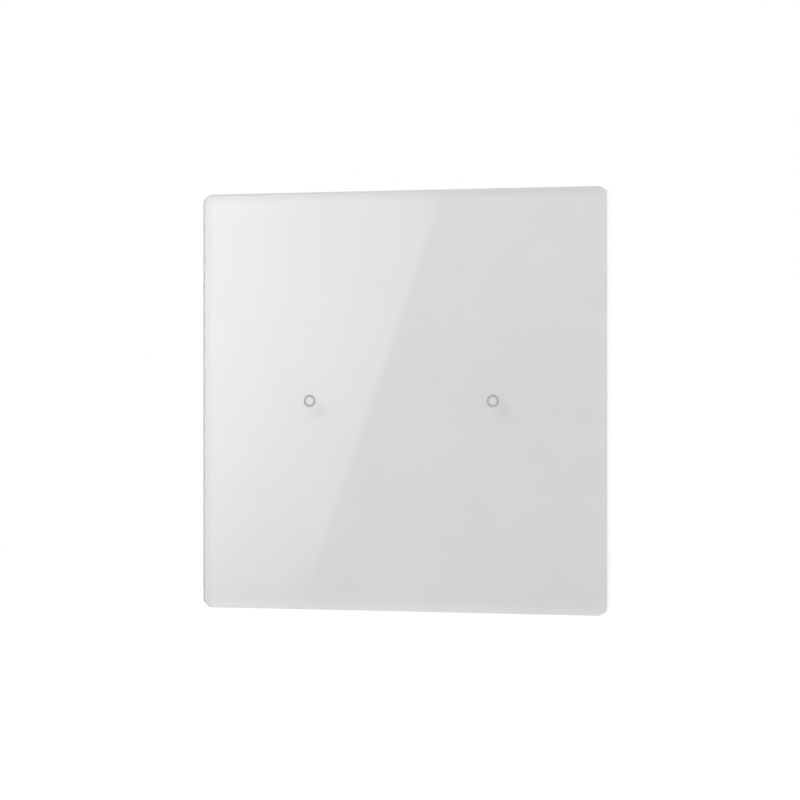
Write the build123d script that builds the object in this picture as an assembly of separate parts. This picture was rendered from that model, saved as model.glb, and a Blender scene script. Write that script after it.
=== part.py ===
from build123d import *
import os
from math import cos, pi, sin, sqrt

# Touch light switch for a square wall box, in millimetres. X runs to the right as seen from the
# room, Y runs into the wall and Z runs up. The origin is the middle of the four wall slots, on the
# back face of the mounting plate, which lies against the wall.

# Glass panel
panel_side = 86.0
panel_proud = 11.0  # from the wall to the face of the glass
glass_thickness = 3.0
glass_corner = 2.0
glass_front_chamfer = 0.5
glass_back_chamfer = 0.3

# Touch keys, each marked by a ring printed on the face of the glass
key_spacing = 39.0
ring_outer_radius = 1.3
ring_line = 0.5
mark_thickness = 0.03
film_thickness = 0.2
film_inset = 0.6

# Carrier behind the glass, and its tape
tape_thickness = 0.5
tape_inset = 1.0
carrier_side = 80.0
carrier_corner = 3.0
carrier_plate = 1.5
skirt_wall = 1.6
skirt_gap = 0.6  # from the skirt to the wall
key_hole_radius = 4.2
pry_notch_width = 10.0
pry_notch_depth = 2.0
guide_rib_width = 2.0
guide_rib_height = 0.4
guide_rib_place = 30.0
groove_depth = 0.5
groove_width = 1.8
groove_length = 9.0

# Mounting plate
plate_side = 72.0
plate_corner = 5.0
plate_thickness = 1.2
fixing_spacing = 60.3
slot_radius = 2.2
slot_length = 7.2
opening_gap = 0.2
tab_leg = 12.0
tab_setback = 0.3
peg_place = 30.0
peg_side = 2.6
peg_gap = 0.2
peg_length = 1.0

# Tray on the front of the mounting plate
panel_gap = 0.5  # from the carrier's plate to the tray
tray_gap = 0.6  # from the carrier's skirt to the tray
tray_corner = 1.5
tray_floor = 1.5
rim_wall = 2.0
access_radius = 3.9
frame_wall = 1.0
frame_height = 1.3
web_thickness = 1.0
web_place = 12.0
standoff_height = 0.5
standoff_side = 3.0
standoff_inset = 3.2  # from the board's notches
standoff_edge = 4.0
screw_post_radius = 2.2
screw_post_depth = 2.0
clamp_post_width = 2.4
clamp_post_height = 3.0
clamp_post_edge = 2.5
clamp_post_corner = 8.5

# Leaf springs that hold the panel
leaf_thickness = 0.3
leaf_width = 6.0
leaf_flat = 0.6
leaf_foot = 0.35
leaf_bite = 0.3  # how far the leaf reaches into the groove
leaf_play = 0.05
leaf_place = 20.0
pocket_depth = 1.2
pocket_lip = 0.3
pocket_play = 0.2

# Touch board
touch_board_side = 46.0
touch_board_thickness = 1.2
board_play = 0.2
notch_room = 2.1  # from the housing screws' heads to the board
board_screw_inset = 4.7
board_screw_radius = 1.0
board_screw_length = 4.0
board_screw_head_radius = 1.9
board_screw_head = 0.8
screw_head_chamfer = 0.3

# Sensing springs
wire_radius = 0.2
coil_radius = 3.2
coil_pitch = 0.92
coil_turns = 2.5
coil_bend = 0.7
wire_sides = 5
gap_points = 400
glass_reach_gap = 0.3  # from the last turn to the print
leg_hole_radius = 0.45

# Light guides and lamps below the keys
guide_neck_radius = 1.6
guide_foot_radius = 2.2
guide_foot_height = 1.1
guide_bore_radius = 1.5
lamp_length = 2.0
lamp_width = 1.25
lamp_base = 0.3
lamp_height = 0.8
lamp_lens_length = 1.2
lamp_room = 0.15

# Touch controller and small board parts
chip_length = 5.0
chip_width = 4.4
chip_height = 0.9
chip_lift = 0.1
chip_z = -2.0
chip_leads = 8
lead_pitch = 0.65
lead_width = 0.25
lead_thickness = 0.15
lead_reach = 1.0
small_length = 1.6
small_width = 0.8
small_height = 0.5
small_pitch = 3.0
small_columns = 9
small_rows = (5.5, -9.5)

# Plug connection between the boards
pin_count = 6
pin_pitch = 2.54
pin_side = 0.64
pin_tail = 0.7
pin_hole_radius = 0.6
pin_hole_sides = 8
pin_tip_gap = 2.0
pin_play = 0.13
header_width = 2.5
header_base = 2.5
header_z = 12.0
socket_height = 8.5
header_window_play = 1.0

# Rear housing
housing_side = 48.0
housing_corner = 4.0
housing_wall = 1.6
housing_rear_wall = 1.8
housing_taper = 0.7  # degrees
rear_chamfer = 1.0
cut_back_gap = 0.3
boss_radius = 3.0
boss_inset = 3.5
boss_end_gap = 0.6
housing_screw_radius = 1.25
housing_screw_length = 10.0
housing_screw_head_radius = 2.2
housing_screw_head = 1.5
screw_play = 0.15
thread_play = 0.05
ledge_width = 2.4
ledge_reach = 1.5
ledge_gap = 0.3  # from the lower ledges to the terminal blocks
driver_hole_lip = 0.4
collar_wall = 0.9
collar_height = 0.6
fin_thickness = 1.2
fin_height = 1.6
vent_width = 1.4
vent_length = 8.0
vent_pitch = 3.2
vent_count = 6
vent_start = 15.0
vent_place = 4.0

# Power board and what it carries
power_board_depth = 11.0
power_board_gap = 0.4
power_board_thickness = 1.6
power_board_corner = 2.0
relay_width = 10.2
relay_height = 10.0
relay_gap = 2.0
relay_edge = 2.6
relay_leg_gap = 1.7
part_chamfer = 0.5
part_edge = 1.5
core_length = 16.0
core_height = 11.6
core_thickness = 5.0
core_leg = 4.0
core_side_leg = 2.4
core_yoke = 2.0
coil_play = 0.15
coil_build = 3.1
bobbin_flange = 0.6
bobbin_lip = 0.3
can_radius = 4.0
can_height = 12.0
can_neck = 0.35
can_neck_start = 1.2
can_neck_height = 0.7
film_cap_thickness = 5.0
film_cap_length = 13.0
film_cap_height = 11.0
varistor_radius = 4.5
varistor_thickness = 3.4
varistor_lift = 1.5
varistor_lead_side = 0.7
varistor_lead_spacing = 5.0
fuse_x_share = -0.2
fuse_radius = 3.2
fuse_height = 8.0
bridge_x_share = 0.18
bridge_length = 8.0
bridge_width = 6.4
bridge_height = 2.6
bridge_leg_width = 0.6
bridge_leg_pitch = 5.1
bridge_leg_reach = 1.0
bridge_leg_thickness = 0.3

# Terminals
pole_count = 4
pole_pitch = 9.0
block_floor_gap = 0.2
block_corner_cut = 1.0
pole_wall = 1.3
block_wall = 1.4
chamber_play = 0.2
cage_length = 6.8
cage_lift_gap = 0.4
jaw_thickness = 0.9
wire_room = 4.6
nut_thickness = 1.9
cage_side_wall = 0.9
cage_travel = 2.4
stop_gap = 0.1
head_gap = 0.1
terminal_head = 1.9
terminal_head_inset = 0.6
terminal_head_shoulder = 1.0
terminal_thread_play = 0.2
terminal_tip_gap = 0.3
driver_slot_width = 0.8
driver_slot_depth = 0.9
block_roof = 1.2
bar_thickness = 0.8
bar_side_gap = 0.3
bar_gap = 0.1
bar_leg_width = 1.4
bar_leg_tail = 1.2
bar_hole_play = 0.2
wire_window_inset = 1.1
wire_window_play = 0.2
overrun = 1.0
few_sides = 12  # flats of small repeated round holes and pins

# Depths along Y, from the glass to the wall and on into the box
glass_front = -panel_proud
glass_back = glass_front + glass_thickness
film_back = glass_back + film_thickness
tape_back = film_back + tape_thickness
carrier_back = tape_back + carrier_plate
skirt_back = -skirt_gap
plate_front = -plate_thickness
tray_front = carrier_back + panel_gap
floor_front = plate_front - tray_floor
touch_board_back = floor_front - standoff_height
touch_board_front = touch_board_back - touch_board_thickness
groove_depth_place = (tray_front + plate_front) / 2
coil_end = film_back + glass_reach_gap + wire_radius
coil_start = coil_end + coil_turns * coil_pitch
power_board_back = power_board_depth + power_board_thickness
cage_front = power_board_back + cage_lift_gap
jaw_back = cage_front + jaw_thickness
wire_room_back = jaw_back + wire_room
cage_back = wire_room_back + nut_thickness
bar_back = wire_room_back - bar_gap
bar_front = bar_back - bar_thickness
chamber_back = cage_back + cage_travel + stop_gap
head_front = chamber_back + head_gap
head_back = head_front + terminal_head
roof_front = head_back + head_gap
block_back = roof_front + block_roof
housing_back = block_back + housing_rear_wall

# Widths and places across the switch
film_side = panel_side - 2 * film_inset
tape_side = carrier_side - 2 * tape_inset
carrier_inner = carrier_side - 2 * skirt_wall
tray_side = carrier_inner - 2 * tray_gap
rim_inner = tray_side - 2 * rim_wall
opening_side = housing_side + 2 * opening_gap
frame_inner = touch_board_side + 2 * board_play
housing_inner = housing_side - 2 * housing_wall
boss_place = housing_side / 2 - boss_inset
board_screw_place = opening_side / 2 - board_screw_inset
notch_side = touch_board_side / 2 - boss_place + housing_screw_head_radius + notch_room
standoff_x = touch_board_side / 2 - notch_side - standoff_inset
standoff_z = touch_board_side / 2 - standoff_edge
ring_inner_radius = ring_outer_radius - ring_line
key_places = (-key_spacing / 2, key_spacing / 2)
power_board_side = housing_inner - 2 * power_board_gap
clamp_post_x = power_board_side / 2 - clamp_post_edge
clamp_post_z = power_board_side / 2 - clamp_post_corner

# Terminals, one block beside the other along the lower wall of the housing
pole_places = [(pole - (pole_count - 1) / 2) * pole_pitch for pole in range(pole_count)]
chamber_width = pole_pitch - 2 * pole_wall
chamber_length = cage_length + 2 * chamber_play
cage_width = chamber_width - 2 * chamber_play
terminal_head_radius = cage_width / 2 - terminal_head_inset
terminal_shank_radius = terminal_head_radius - terminal_head_shoulder
driver_hole_radius = terminal_head_radius - driver_hole_lip
bar_width = cage_width - 2 * cage_side_wall - 2 * bar_side_gap
wire_window_width = cage_width - 2 * wire_window_inset
block_bottom = -housing_inner / 2 + block_floor_gap
pole_z = block_bottom + block_wall + chamber_length / 2
bar_leg_z = pole_z + (chamber_length + bar_thickness) / 2
block_top = bar_leg_z + bar_thickness / 2 + chamber_play + block_wall

# Parts on the power board: two relays in front, an even row behind, and two more below that row
relay_length = (power_board_side - relay_gap) / 2 - relay_edge
relay_x = (relay_gap + relay_length) / 2
relay_z = bar_leg_z + (bar_thickness + relay_width) / 2 + relay_leg_gap
row_room = housing_inner - 2 * ledge_reach
row_widths = (core_length, 2 * can_radius, film_cap_thickness, varistor_thickness)
row_gap = (row_room - sum(row_widths)) / (len(row_widths) + 1)
row_starts = [sum(row_widths[:part]) + (part + 1) * row_gap - row_room / 2 for part in range(len(row_widths))]
transformer_x, can_x, film_cap_x, varistor_x = [
    start + width / 2 for start, width in zip(row_starts, row_widths)
]
row_z = power_board_side / 2 - part_edge - film_cap_length / 2
low_row_z = (block_top + row_z - film_cap_length / 2) / 2
fuse_x = fuse_x_share * power_board_side
bridge_x = bridge_x_share * power_board_side
corner_signs = [(-1, -1), (1, -1), (-1, 1), (1, 1)]


def slab(sketch, front, back):
    """A sketch drawn in X and Z, made solid between two depths."""
    return extrude(Plane.XZ.offset(-front) * sketch, amount=front - back)


def rod(x, z, radius, front, back):
    """A round pin along Y."""
    return slab(Pos(x, z) * Circle(radius), front, back)


def brick(x, z, width, height, front, back):
    """A rectangular block centred on x and z."""
    return slab(Pos(x, z) * Rectangle(width, height), front, back)


def flatted(radius):
    """A round shape of few flats, which lie on the radius."""
    return RegularPolygon(radius, few_sides, major_radius=False)


def at_each(places, shape):
    """Copies of a sketch at each (x, z) place."""
    return Sketch() + [Pos(x, z) * shape for x, z in places]


def at_keys(shape):
    return at_each([(x, 0) for x in key_places], shape)


def at_corners(place, shape):
    return at_each([(place * sx, place * sz) for sx, sz in corner_signs], shape)


def at_fixings(width, length):
    """Four slots on the fixing centres, each running towards the middle of the switch."""
    slot = SlotOverall(length, width)
    half = fixing_spacing / 2
    level = at_each([(-half, 0), (half, 0)], slot)
    upright = at_each([(0, -half), (0, half)], Rot(0, 0, 90) * slot)
    return level + upright


def corner_window(side, leg):
    """A square with its four corners cut off along 45 degree lines."""
    across = sqrt(2) * (side - leg)
    return Rectangle(side, side) & Rectangle(across, across, rotation=45)


def far_edges(shape, front):
    """The edges of the frontmost or rearmost face."""
    faces = shape.faces().sort_by(Axis.Y)
    face = faces[0] if front else faces[-1]
    return face.edges()


def glass_panel():
    sheet = slab(RectangleRounded(panel_side, panel_side, glass_corner), glass_front, glass_back)
    sheet = chamfer(far_edges(sheet, front=True), glass_front_chamfer)
    return chamfer(far_edges(sheet, front=False), glass_back_chamfer)


def printed_film():
    """White print over the whole back of the glass."""
    return slab(RectangleRounded(film_side, film_side, glass_corner - film_inset), glass_back, film_back)


def ring_marks():
    ring = Circle(ring_outer_radius) - Circle(ring_inner_radius)
    return slab(at_keys(ring), glass_front - mark_thickness, glass_front)


def bonding_tape():
    sheet = RectangleRounded(tape_side, tape_side, carrier_corner - tape_inset)
    return slab(sheet - at_keys(Circle(key_hole_radius)), film_back, tape_back)


def panel_carrier():
    """Shallow moulded cap with a skirt, guide ribs and the grooves of the leaf springs."""
    outer = RectangleRounded(carrier_side, carrier_side, carrier_corner)
    inner = RectangleRounded(carrier_inner, carrier_inner, carrier_corner - skirt_wall)
    cap = slab(outer, tape_back, skirt_back) - slab(inner, carrier_back, skirt_back + overrun)
    cap -= slab(at_keys(Circle(key_hole_radius)), tape_back - overrun, carrier_back + overrun)
    wall_line = carrier_inner / 2
    rib = Rectangle(guide_rib_width, 2 * guide_rib_height)
    for quarter in range(4):
        ribs = at_each([(-guide_rib_place, wall_line), (guide_rib_place, wall_line)], rib)
        cap += slab(Rot(0, 0, 90 * quarter) * ribs, carrier_back, skirt_back)
    groove = Rectangle(2 * groove_depth, groove_length)
    lines = [(wall_line * sx, leaf_place * sz) for sx, sz in corner_signs]
    groove_front = groove_depth_place - groove_width / 2
    cap -= slab(at_each(lines, groove), groove_front, groove_front + groove_width)
    notch_z = -(carrier_side + carrier_inner) / 4
    notch_front = skirt_back - pry_notch_depth
    return cap - brick(0, notch_z, pry_notch_width, 2 * skirt_wall, notch_front, skirt_back + overrun)


def mounting_plate():
    """Pressed plate with four wall slots, and corner tabs that clamp the housing."""
    blank = RectangleRounded(plate_side, plate_side, plate_corner)
    blank -= corner_window(opening_side, tab_leg)
    blank -= at_fixings(2 * slot_radius, slot_length)
    peg_hole = peg_side + 2 * peg_gap
    blank -= at_corners(peg_place, Rectangle(peg_hole, peg_hole))
    blank -= at_corners(boss_place, flatted(housing_screw_radius + screw_play))
    plate = slab(blank, plate_front, 0)
    return plate - brick(0, 0, opening_side, opening_side, -tab_setback, overrun)


def front_tray():
    """Moulded tray: rim, board frame, webs and wall screw holes in front, posts and pegs behind."""
    outer = RectangleRounded(tray_side, tray_side, tray_corner)
    rim = outer - Rectangle(rim_inner, rim_inner)
    tray = slab(outer, floor_front, plate_front) + slab(rim, tray_front, floor_front)
    frame_outer = frame_inner + 2 * frame_wall
    frame = Rectangle(frame_outer, frame_outer) - Rectangle(frame_inner, frame_inner)
    tray += slab(frame, floor_front - frame_height, floor_front)
    web_length = (rim_inner - frame_outer) / 2
    web = Rectangle(web_length, web_thickness)
    web_x = (rim_inner + frame_outer) / 4
    for quarter in range(4):
        webs = at_each([(web_x, -web_place), (web_x, web_place)], web)
        tray += slab(Rot(0, 0, 90 * quarter) * webs, floor_front - frame_height, floor_front)
    stands = [(standoff_x * sx, standoff_z * sz) for sx, sz in corner_signs]
    stand = Rectangle(standoff_side, standoff_side)
    tray += slab(at_each(stands, stand), touch_board_back, floor_front)
    screw_places = [(0, -board_screw_place), (0, board_screw_place)]
    post_back = plate_front + screw_post_depth
    tray += slab(at_each(screw_places, flatted(screw_post_radius)), touch_board_back, post_back)
    clamps = [(clamp_post_x * sx, clamp_post_z * sz) for sx, sz in corner_signs]
    clamp = Rectangle(clamp_post_width, clamp_post_height)
    tray += slab(at_each(clamps, clamp), plate_front, power_board_depth)
    peg = Rectangle(peg_side, peg_side)
    tray += slab(at_corners(peg_place, peg), plate_front, plate_front + peg_length)
    slot_run = slot_length - 2 * slot_radius
    holes = at_fixings(2 * access_radius, slot_run + 2 * access_radius)
    holes += at_corners(boss_place, flatted(housing_screw_radius + screw_play))
    window_length = pin_count * pin_pitch + 2 * header_window_play
    holes += Pos(0, header_z) * Rectangle(window_length, header_width + 2 * header_window_play)
    tray -= slab(holes, floor_front - overrun, plate_front + overrun)
    pilot = flatted(board_screw_radius + thread_play)
    pilot_back = touch_board_front + board_screw_length + thread_play
    tray -= slab(at_each(screw_places, pilot), touch_board_back - overrun, pilot_back)
    pocket = Rectangle(2 * pocket_depth, leaf_width + 2 * pocket_play)
    pockets = [(tray_side / 2 * sx, leaf_place * sz) for sx, sz in corner_signs]
    return tray - slab(at_each(pockets, pocket), tray_front + pocket_lip, plate_front - pocket_lip)


def leaf_spring():
    """One leaf on the right side: a strip bent out to a flat nose, with a foot at each end."""
    foot_x = tray_side / 2 - pocket_depth + leaf_thickness / 2
    nose_x = carrier_inner / 2 + leaf_bite - leaf_thickness / 2
    front = tray_front + pocket_lip + leaf_play
    back = plate_front - pocket_lip - leaf_play
    nose_front = groove_depth_place - leaf_flat / 2
    points = [
        (foot_x, front),
        (foot_x, front + leaf_foot),
        (nose_x, nose_front),
        (nose_x, nose_front + leaf_flat),
        (foot_x, back - leaf_foot),
        (foot_x, back),
    ]
    strip = trace(Polyline(*points), leaf_thickness)
    return Pos(0, 0, -leaf_width / 2) * extrude(strip, amount=leaf_width)


def panel_springs():
    right = leaf_spring()
    left = mirror(right, about=Plane.YZ)
    return Compound([Pos(0, 0, leaf_place * sz) * leaf for leaf in (left, right) for sz in (-1, 1)])


def touch_board():
    blank = Rectangle(touch_board_side, touch_board_side)
    notch_place = (touch_board_side - notch_side) / 2
    blank -= at_corners(notch_place, Rectangle(notch_side, notch_side))
    screw_hole = flatted(board_screw_radius + screw_play)
    blank -= at_each([(0, -board_screw_place), (0, board_screw_place)], screw_hole)
    blank -= at_each(pin_places(), RegularPolygon(pin_hole_radius, pin_hole_sides))
    leg_x = key_spacing / 2 - coil_radius
    blank -= at_each([(-leg_x, 0), (leg_x, 0)], flatted(leg_hole_radius))
    return slab(blank, touch_board_front, touch_board_back)


def coil_point(angle, depth):
    """A point on the left spring, counted from the side that faces the middle of the switch."""
    return Vector(coil_radius * cos(angle) - key_spacing / 2, depth, coil_radius * sin(angle))


def coil_route():
    """Points and directions along the left spring: a leg through the board, then its turns."""
    rise = coil_pitch / (2 * pi * coil_radius)
    lead_in = coil_bend / coil_radius
    stops = [(coil_point(0, depth), Vector(0, -1, 0)) for depth in (touch_board_back, coil_start + coil_bend)]
    for step in range(round(4 * coil_turns) + 1):
        turned = step * pi / 2
        angle = lead_in + turned
        place = coil_point(angle, coil_start - coil_pitch * turned / (2 * pi))
        stops.append((place, Vector(-sin(angle), -rise, cos(angle)).normalized()))
    return stops


def biarc(start, start_way, end, end_way):
    """Two arcs that leave one point and reach the next in the given directions."""
    gap = end - start
    ways = start_way + end_way
    spread = 2 * (1 - start_way.dot(end_way))
    along = gap.dot(ways)
    reach = (sqrt(along**2 + spread * gap.dot(gap)) - along) / spread
    middle = (start + start_way * reach + end - end_way * reach) / 2
    first = TangentArc(start, middle, tangent=start_way)
    return [first, TangentArc(middle, end, tangent=first % 1)]


def touch_spring():
    """The left sensing spring as one wire, and its route."""
    stops = coil_route()
    edges = [Line(stops[0][0], stops[1][0])]
    for (start, start_way), (end, end_way) in zip(stops[1:], stops[2:]):
        edges += biarc(start, start_way, end, end_way)
    route = Wire(edges)
    section = Plane(origin=stops[0][0], z_dir=stops[0][1]) * RegularPolygon(wire_radius, wire_sides)
    return sweep(section, path=route), route


def least_turn_gap(route):
    """The least gap between two turns of a wire, measured on points along it."""
    points = [route.position_at(i / gap_points) for i in range(gap_points + 1)]
    half_turn = round(gap_points / (2 * coil_turns))
    gaps = [
        (points[i] - points[j]).length
        for i in range(gap_points + 1)
        for j in range(i + half_turn, gap_points + 1)
    ]
    return min(gaps) - 2 * wire_radius


def light_guide(key_x):
    """A clear stem on a hollow foot that stands over the lamp."""
    guide = rod(key_x, 0, guide_neck_radius, coil_end - wire_radius, touch_board_front)
    guide += rod(key_x, 0, guide_foot_radius, touch_board_front - guide_foot_height, touch_board_front)
    hollow_front = touch_board_front - lamp_height - lamp_room
    bore = Pos(key_x, 0) * flatted(guide_bore_radius)
    return guide - slab(bore, hollow_front, touch_board_front + overrun)


def led(key_x):
    base_front = touch_board_front - lamp_base
    base = brick(key_x, 0, lamp_length, lamp_width, base_front, touch_board_front)
    lens_front = touch_board_front - lamp_height
    return base + brick(key_x, 0, lamp_lens_length, lamp_width, lens_front, base_front)


def chip_lead():
    """The section of one bent lead on the upper side of the chip, in Z and Y."""
    shoulder_back = touch_board_front - chip_lift - chip_height / 2
    heel = chip_z + chip_width / 2 + lead_reach / 2
    toe = heel + lead_reach / 2
    foot_front = touch_board_front - lead_thickness
    points = [
        (chip_z + chip_width / 2, shoulder_back - lead_thickness),
        (heel, shoulder_back - lead_thickness),
        (heel, foot_front),
        (toe, foot_front),
        (toe, touch_board_front),
        (heel - lead_thickness, touch_board_front),
        (heel - lead_thickness, shoulder_back),
        (chip_z + chip_width / 2, shoulder_back),
    ]
    outline = make_face(Polyline(*[(0, y, z) for z, y in points], close=True))
    return extrude(outline, amount=lead_width / 2, dir=(1, 0, 0), both=True)


def touch_controller():
    """Chip with two rows of bent leads."""
    seat = touch_board_front - chip_lift
    body = brick(0, chip_z, chip_length, chip_width, seat - chip_height, seat)
    chip = chamfer(far_edges(body, front=True), chip_lift)
    upper = chip_lead()
    lower = mirror(upper, about=Plane.XY.offset(chip_z))
    for place in range(chip_leads):
        x = (place - (chip_leads - 1) / 2) * lead_pitch
        chip += Pos(x, 0, 0) * upper + Pos(x, 0, 0) * lower
    return chip


def smd_parts():
    chips = []
    for z in small_rows:
        for column in range(small_columns):
            x = (column - (small_columns - 1) / 2) * small_pitch
            front = touch_board_front - small_height
            chips.append(brick(x, z, small_width, small_length, front, touch_board_front))
    return Compound(chips)


def screw(x, z, seat, head_radius, head, shank_radius, length):
    """Pan head screw driven from the front, with its head against the seat depth."""
    blank = slab(Pos(x, z) * flatted(head_radius), seat - head, seat)
    top = chamfer(far_edges(blank, front=True), screw_head_chamfer)
    cross = Rectangle(head_radius, shank_radius / 2) + Rectangle(shank_radius / 2, head_radius)
    recess = slab(Pos(x, z) * cross, seat - head - overrun, seat - head / 2)
    return top - recess + slab(Pos(x, z) * flatted(shank_radius), seat, seat + length)


def board_screws():
    sizes = (touch_board_front, board_screw_head_radius, board_screw_head)
    shank = (board_screw_radius, board_screw_length)
    return Compound([screw(0, board_screw_place * side, *sizes, *shank) for side in (-1, 1)])


def housing_screws():
    sizes = (floor_front, housing_screw_head_radius, housing_screw_head)
    shank = (housing_screw_radius, housing_screw_length)
    return Compound([screw(boss_place * sx, boss_place * sz, *sizes, *shank) for sx, sz in corner_signs])


def pin_places():
    return [((pin - (pin_count - 1) / 2) * pin_pitch, header_z) for pin in range(pin_count)]


def pin_header():
    """Plastic bar with long square pins that reach from the touch board into the socket."""
    length = pin_count * pin_pitch
    bar = brick(0, header_z, length, header_width, touch_board_back, touch_board_back + header_base)
    pins = at_each(pin_places(), Rectangle(pin_side, pin_side))
    return bar + slab(pins, touch_board_front - pin_tail, power_board_depth - pin_tip_gap)


def header_socket():
    mouth = power_board_depth - socket_height
    body = brick(0, header_z, pin_count * pin_pitch, header_width, mouth, power_board_depth)
    bore_side = pin_side + 2 * pin_play
    bores = at_each(pin_places(), Rectangle(bore_side, bore_side))
    return body - slab(bores, mouth - overrun, power_board_depth - pin_tip_gap + pin_play)


def wire_window(x, play, front, back):
    """A block for the wire opening of one pole, between two depths and through the lower wall."""
    top = pole_z - cage_length / 2
    bottom = -housing_side / 2 - fin_height
    return brick(x, (top + bottom) / 2, wire_window_width + 2 * play, top - bottom, front, back)


def housing_shell():
    """Tapered open box with a chamfered rear edge."""
    outline = Plane.XZ.offset(-plate_front) * RectangleRounded(housing_side, housing_side, housing_corner)
    shell = extrude(outline, amount=plate_front - housing_back, taper=housing_taper)
    shell = chamfer(far_edges(shell, front=False), rear_chamfer)
    hollow = RectangleRounded(housing_inner, housing_inner, housing_corner - housing_wall)
    return shell - slab(hollow, plate_front - overrun, block_back)


def rear_housing():
    """Moulded box with screw bosses, board ledges, vents, wire windows and driver holes."""
    body = housing_shell()
    seat = -tab_setback
    corner = Rectangle(housing_side, housing_side) - corner_window(opening_side, tab_leg + 2 * cut_back_gap)
    body -= slab(corner, plate_front - overrun, seat)
    core = Rectangle(housing_inner + housing_wall, housing_inner + housing_wall)
    boss_back = power_board_depth - boss_end_gap
    body += slab(at_corners(boss_place, flatted(boss_radius)) & core, seat, boss_back)
    pilot_back = floor_front + housing_screw_length + thread_play
    pilot = flatted(housing_screw_radius + thread_play)
    body -= slab(at_corners(boss_place, pilot), seat - overrun, pilot_back)
    ledge = Rectangle(2 * ledge_reach, ledge_width)
    low_ledge_z = block_top + ledge_gap + ledge_width / 2
    ledges = [(housing_inner / 2 * side, z) for side in (-1, 1) for z in (low_ledge_z, clamp_post_z)]
    body += slab(at_each(ledges, ledge) & core, power_board_back, block_back)
    poles = [(x, pole_z) for x in pole_places]
    collars = at_each(poles, flatted(driver_hole_radius + collar_wall))
    body += slab(collars, block_back, housing_back + collar_height)
    body -= slab(at_each(poles, flatted(driver_hole_radius)), block_back - overrun, housing_back + overrun)
    fin_z = -(housing_inner + housing_wall + fin_height) / 2
    fin = Rectangle(fin_thickness, housing_wall + fin_height)
    fins = at_each([((pole - pole_count / 2) * pole_pitch, fin_z) for pole in range(pole_count + 1)], fin)
    body += slab(fins - Rectangle(housing_inner, housing_inner), power_board_back, block_back - rear_chamfer)
    for x in pole_places:
        body -= wire_window(x, 0, jaw_back + wire_window_play, bar_front - wire_window_play)
    return body - housing_vents()


def housing_vents():
    """Slots through the left and right walls above the terminals, and through the top wall."""
    cut = 4 * housing_wall
    rows = [vent_place + (row - (vent_count - 1) / 2) * vent_pitch for row in range(vent_count)]
    columns = [(row - (vent_count - 1) / 2) * vent_pitch for row in range(vent_count)]
    line = housing_side / 2
    sides = at_each([(line * side, z) for side in (-1, 1) for z in rows], Rectangle(cut, vent_width))
    top = at_each([(x, line) for x in columns], Rectangle(vent_width, cut))
    return slab(sides + top, vent_start, vent_start + vent_length)


def power_board():
    blank = RectangleRounded(power_board_side, power_board_side, power_board_corner)
    hole = Rectangle(bar_leg_width + 2 * bar_hole_play, bar_thickness + 2 * bar_hole_play)
    blank -= at_each([(x, bar_leg_z) for x in pole_places], hole)
    return slab(blank, power_board_depth, power_board_back)


def relay(side):
    front = power_board_depth - relay_height
    box = brick(relay_x * side, relay_z, relay_length, relay_width, front, power_board_depth)
    return chamfer(far_edges(box, front=True) + box.edges().filter_by(Axis.Y), part_chamfer)


def transformer_core():
    """Closed core with three legs."""
    outer = Rectangle(core_length, core_height)
    gap = (core_length - core_leg - 2 * core_side_leg) / 2
    window_x = (core_leg + gap) / 2
    window = Rectangle(gap, core_height - 2 * core_yoke)
    profile = outer - Pos(-window_x, 0) * window - Pos(window_x, 0) * window
    core = extrude(profile, amount=core_thickness / 2, both=True)
    return Pos(transformer_x, power_board_back + core_height / 2, row_z) * core


def transformer_coil():
    """Bobbin and winding round the middle leg."""
    front = power_board_back + core_yoke + coil_play
    back = power_board_back + core_height - core_yoke - coil_play
    width = core_leg + 2 * coil_build
    height = core_thickness + 2 * coil_build
    coil = brick(0, 0, width, height, front, back)
    coil = chamfer(coil.edges().filter_by(Axis.Y), part_chamfer)
    flange = Rectangle(width + 2 * bobbin_lip, height + 2 * bobbin_lip)
    coil += slab(flange, front, front + bobbin_flange) + slab(flange, back - bobbin_flange, back)
    leg = Rectangle(core_leg + 2 * coil_play, core_thickness + 2 * coil_play)
    coil -= slab(leg, front - overrun, back + overrun)
    return Pos(transformer_x, 0, row_z) * coil


def bulk_capacitor():
    """Upright can with a rolled neck."""
    neck_start = power_board_back + can_neck_start
    neck_end = neck_start + can_neck_height
    can = rod(can_x, row_z, can_radius, power_board_back, neck_start)
    can += rod(can_x, row_z, can_radius - can_neck, neck_start, neck_end)
    can += rod(can_x, row_z, can_radius, neck_end, power_board_back + can_height)
    return chamfer(far_edges(can, front=False), part_chamfer)


def suppression_capacitor():
    back = power_board_back + film_cap_height
    box = brick(film_cap_x, row_z, film_cap_thickness, film_cap_length, power_board_back, back)
    return chamfer(far_edges(box, front=False) + box.edges().filter_by(Axis.Y), part_chamfer)


def varistor():
    """Round disc on edge, on two leads."""
    depth = power_board_back + varistor_lift + varistor_radius
    face = Plane(origin=(varistor_x, depth, row_z), x_dir=(0, 1, 0), z_dir=(1, 0, 0))
    disc = extrude(face * Circle(varistor_radius), amount=varistor_thickness / 2, both=True)
    for side in (-1, 1):
        z = row_z + side * varistor_lead_spacing / 2
        disc += brick(varistor_x, z, varistor_lead_side, varistor_lead_side, power_board_back, depth)
    return disc


def fuse():
    return rod(fuse_x, low_row_z, fuse_radius, power_board_back, power_board_back + fuse_height)


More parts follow.
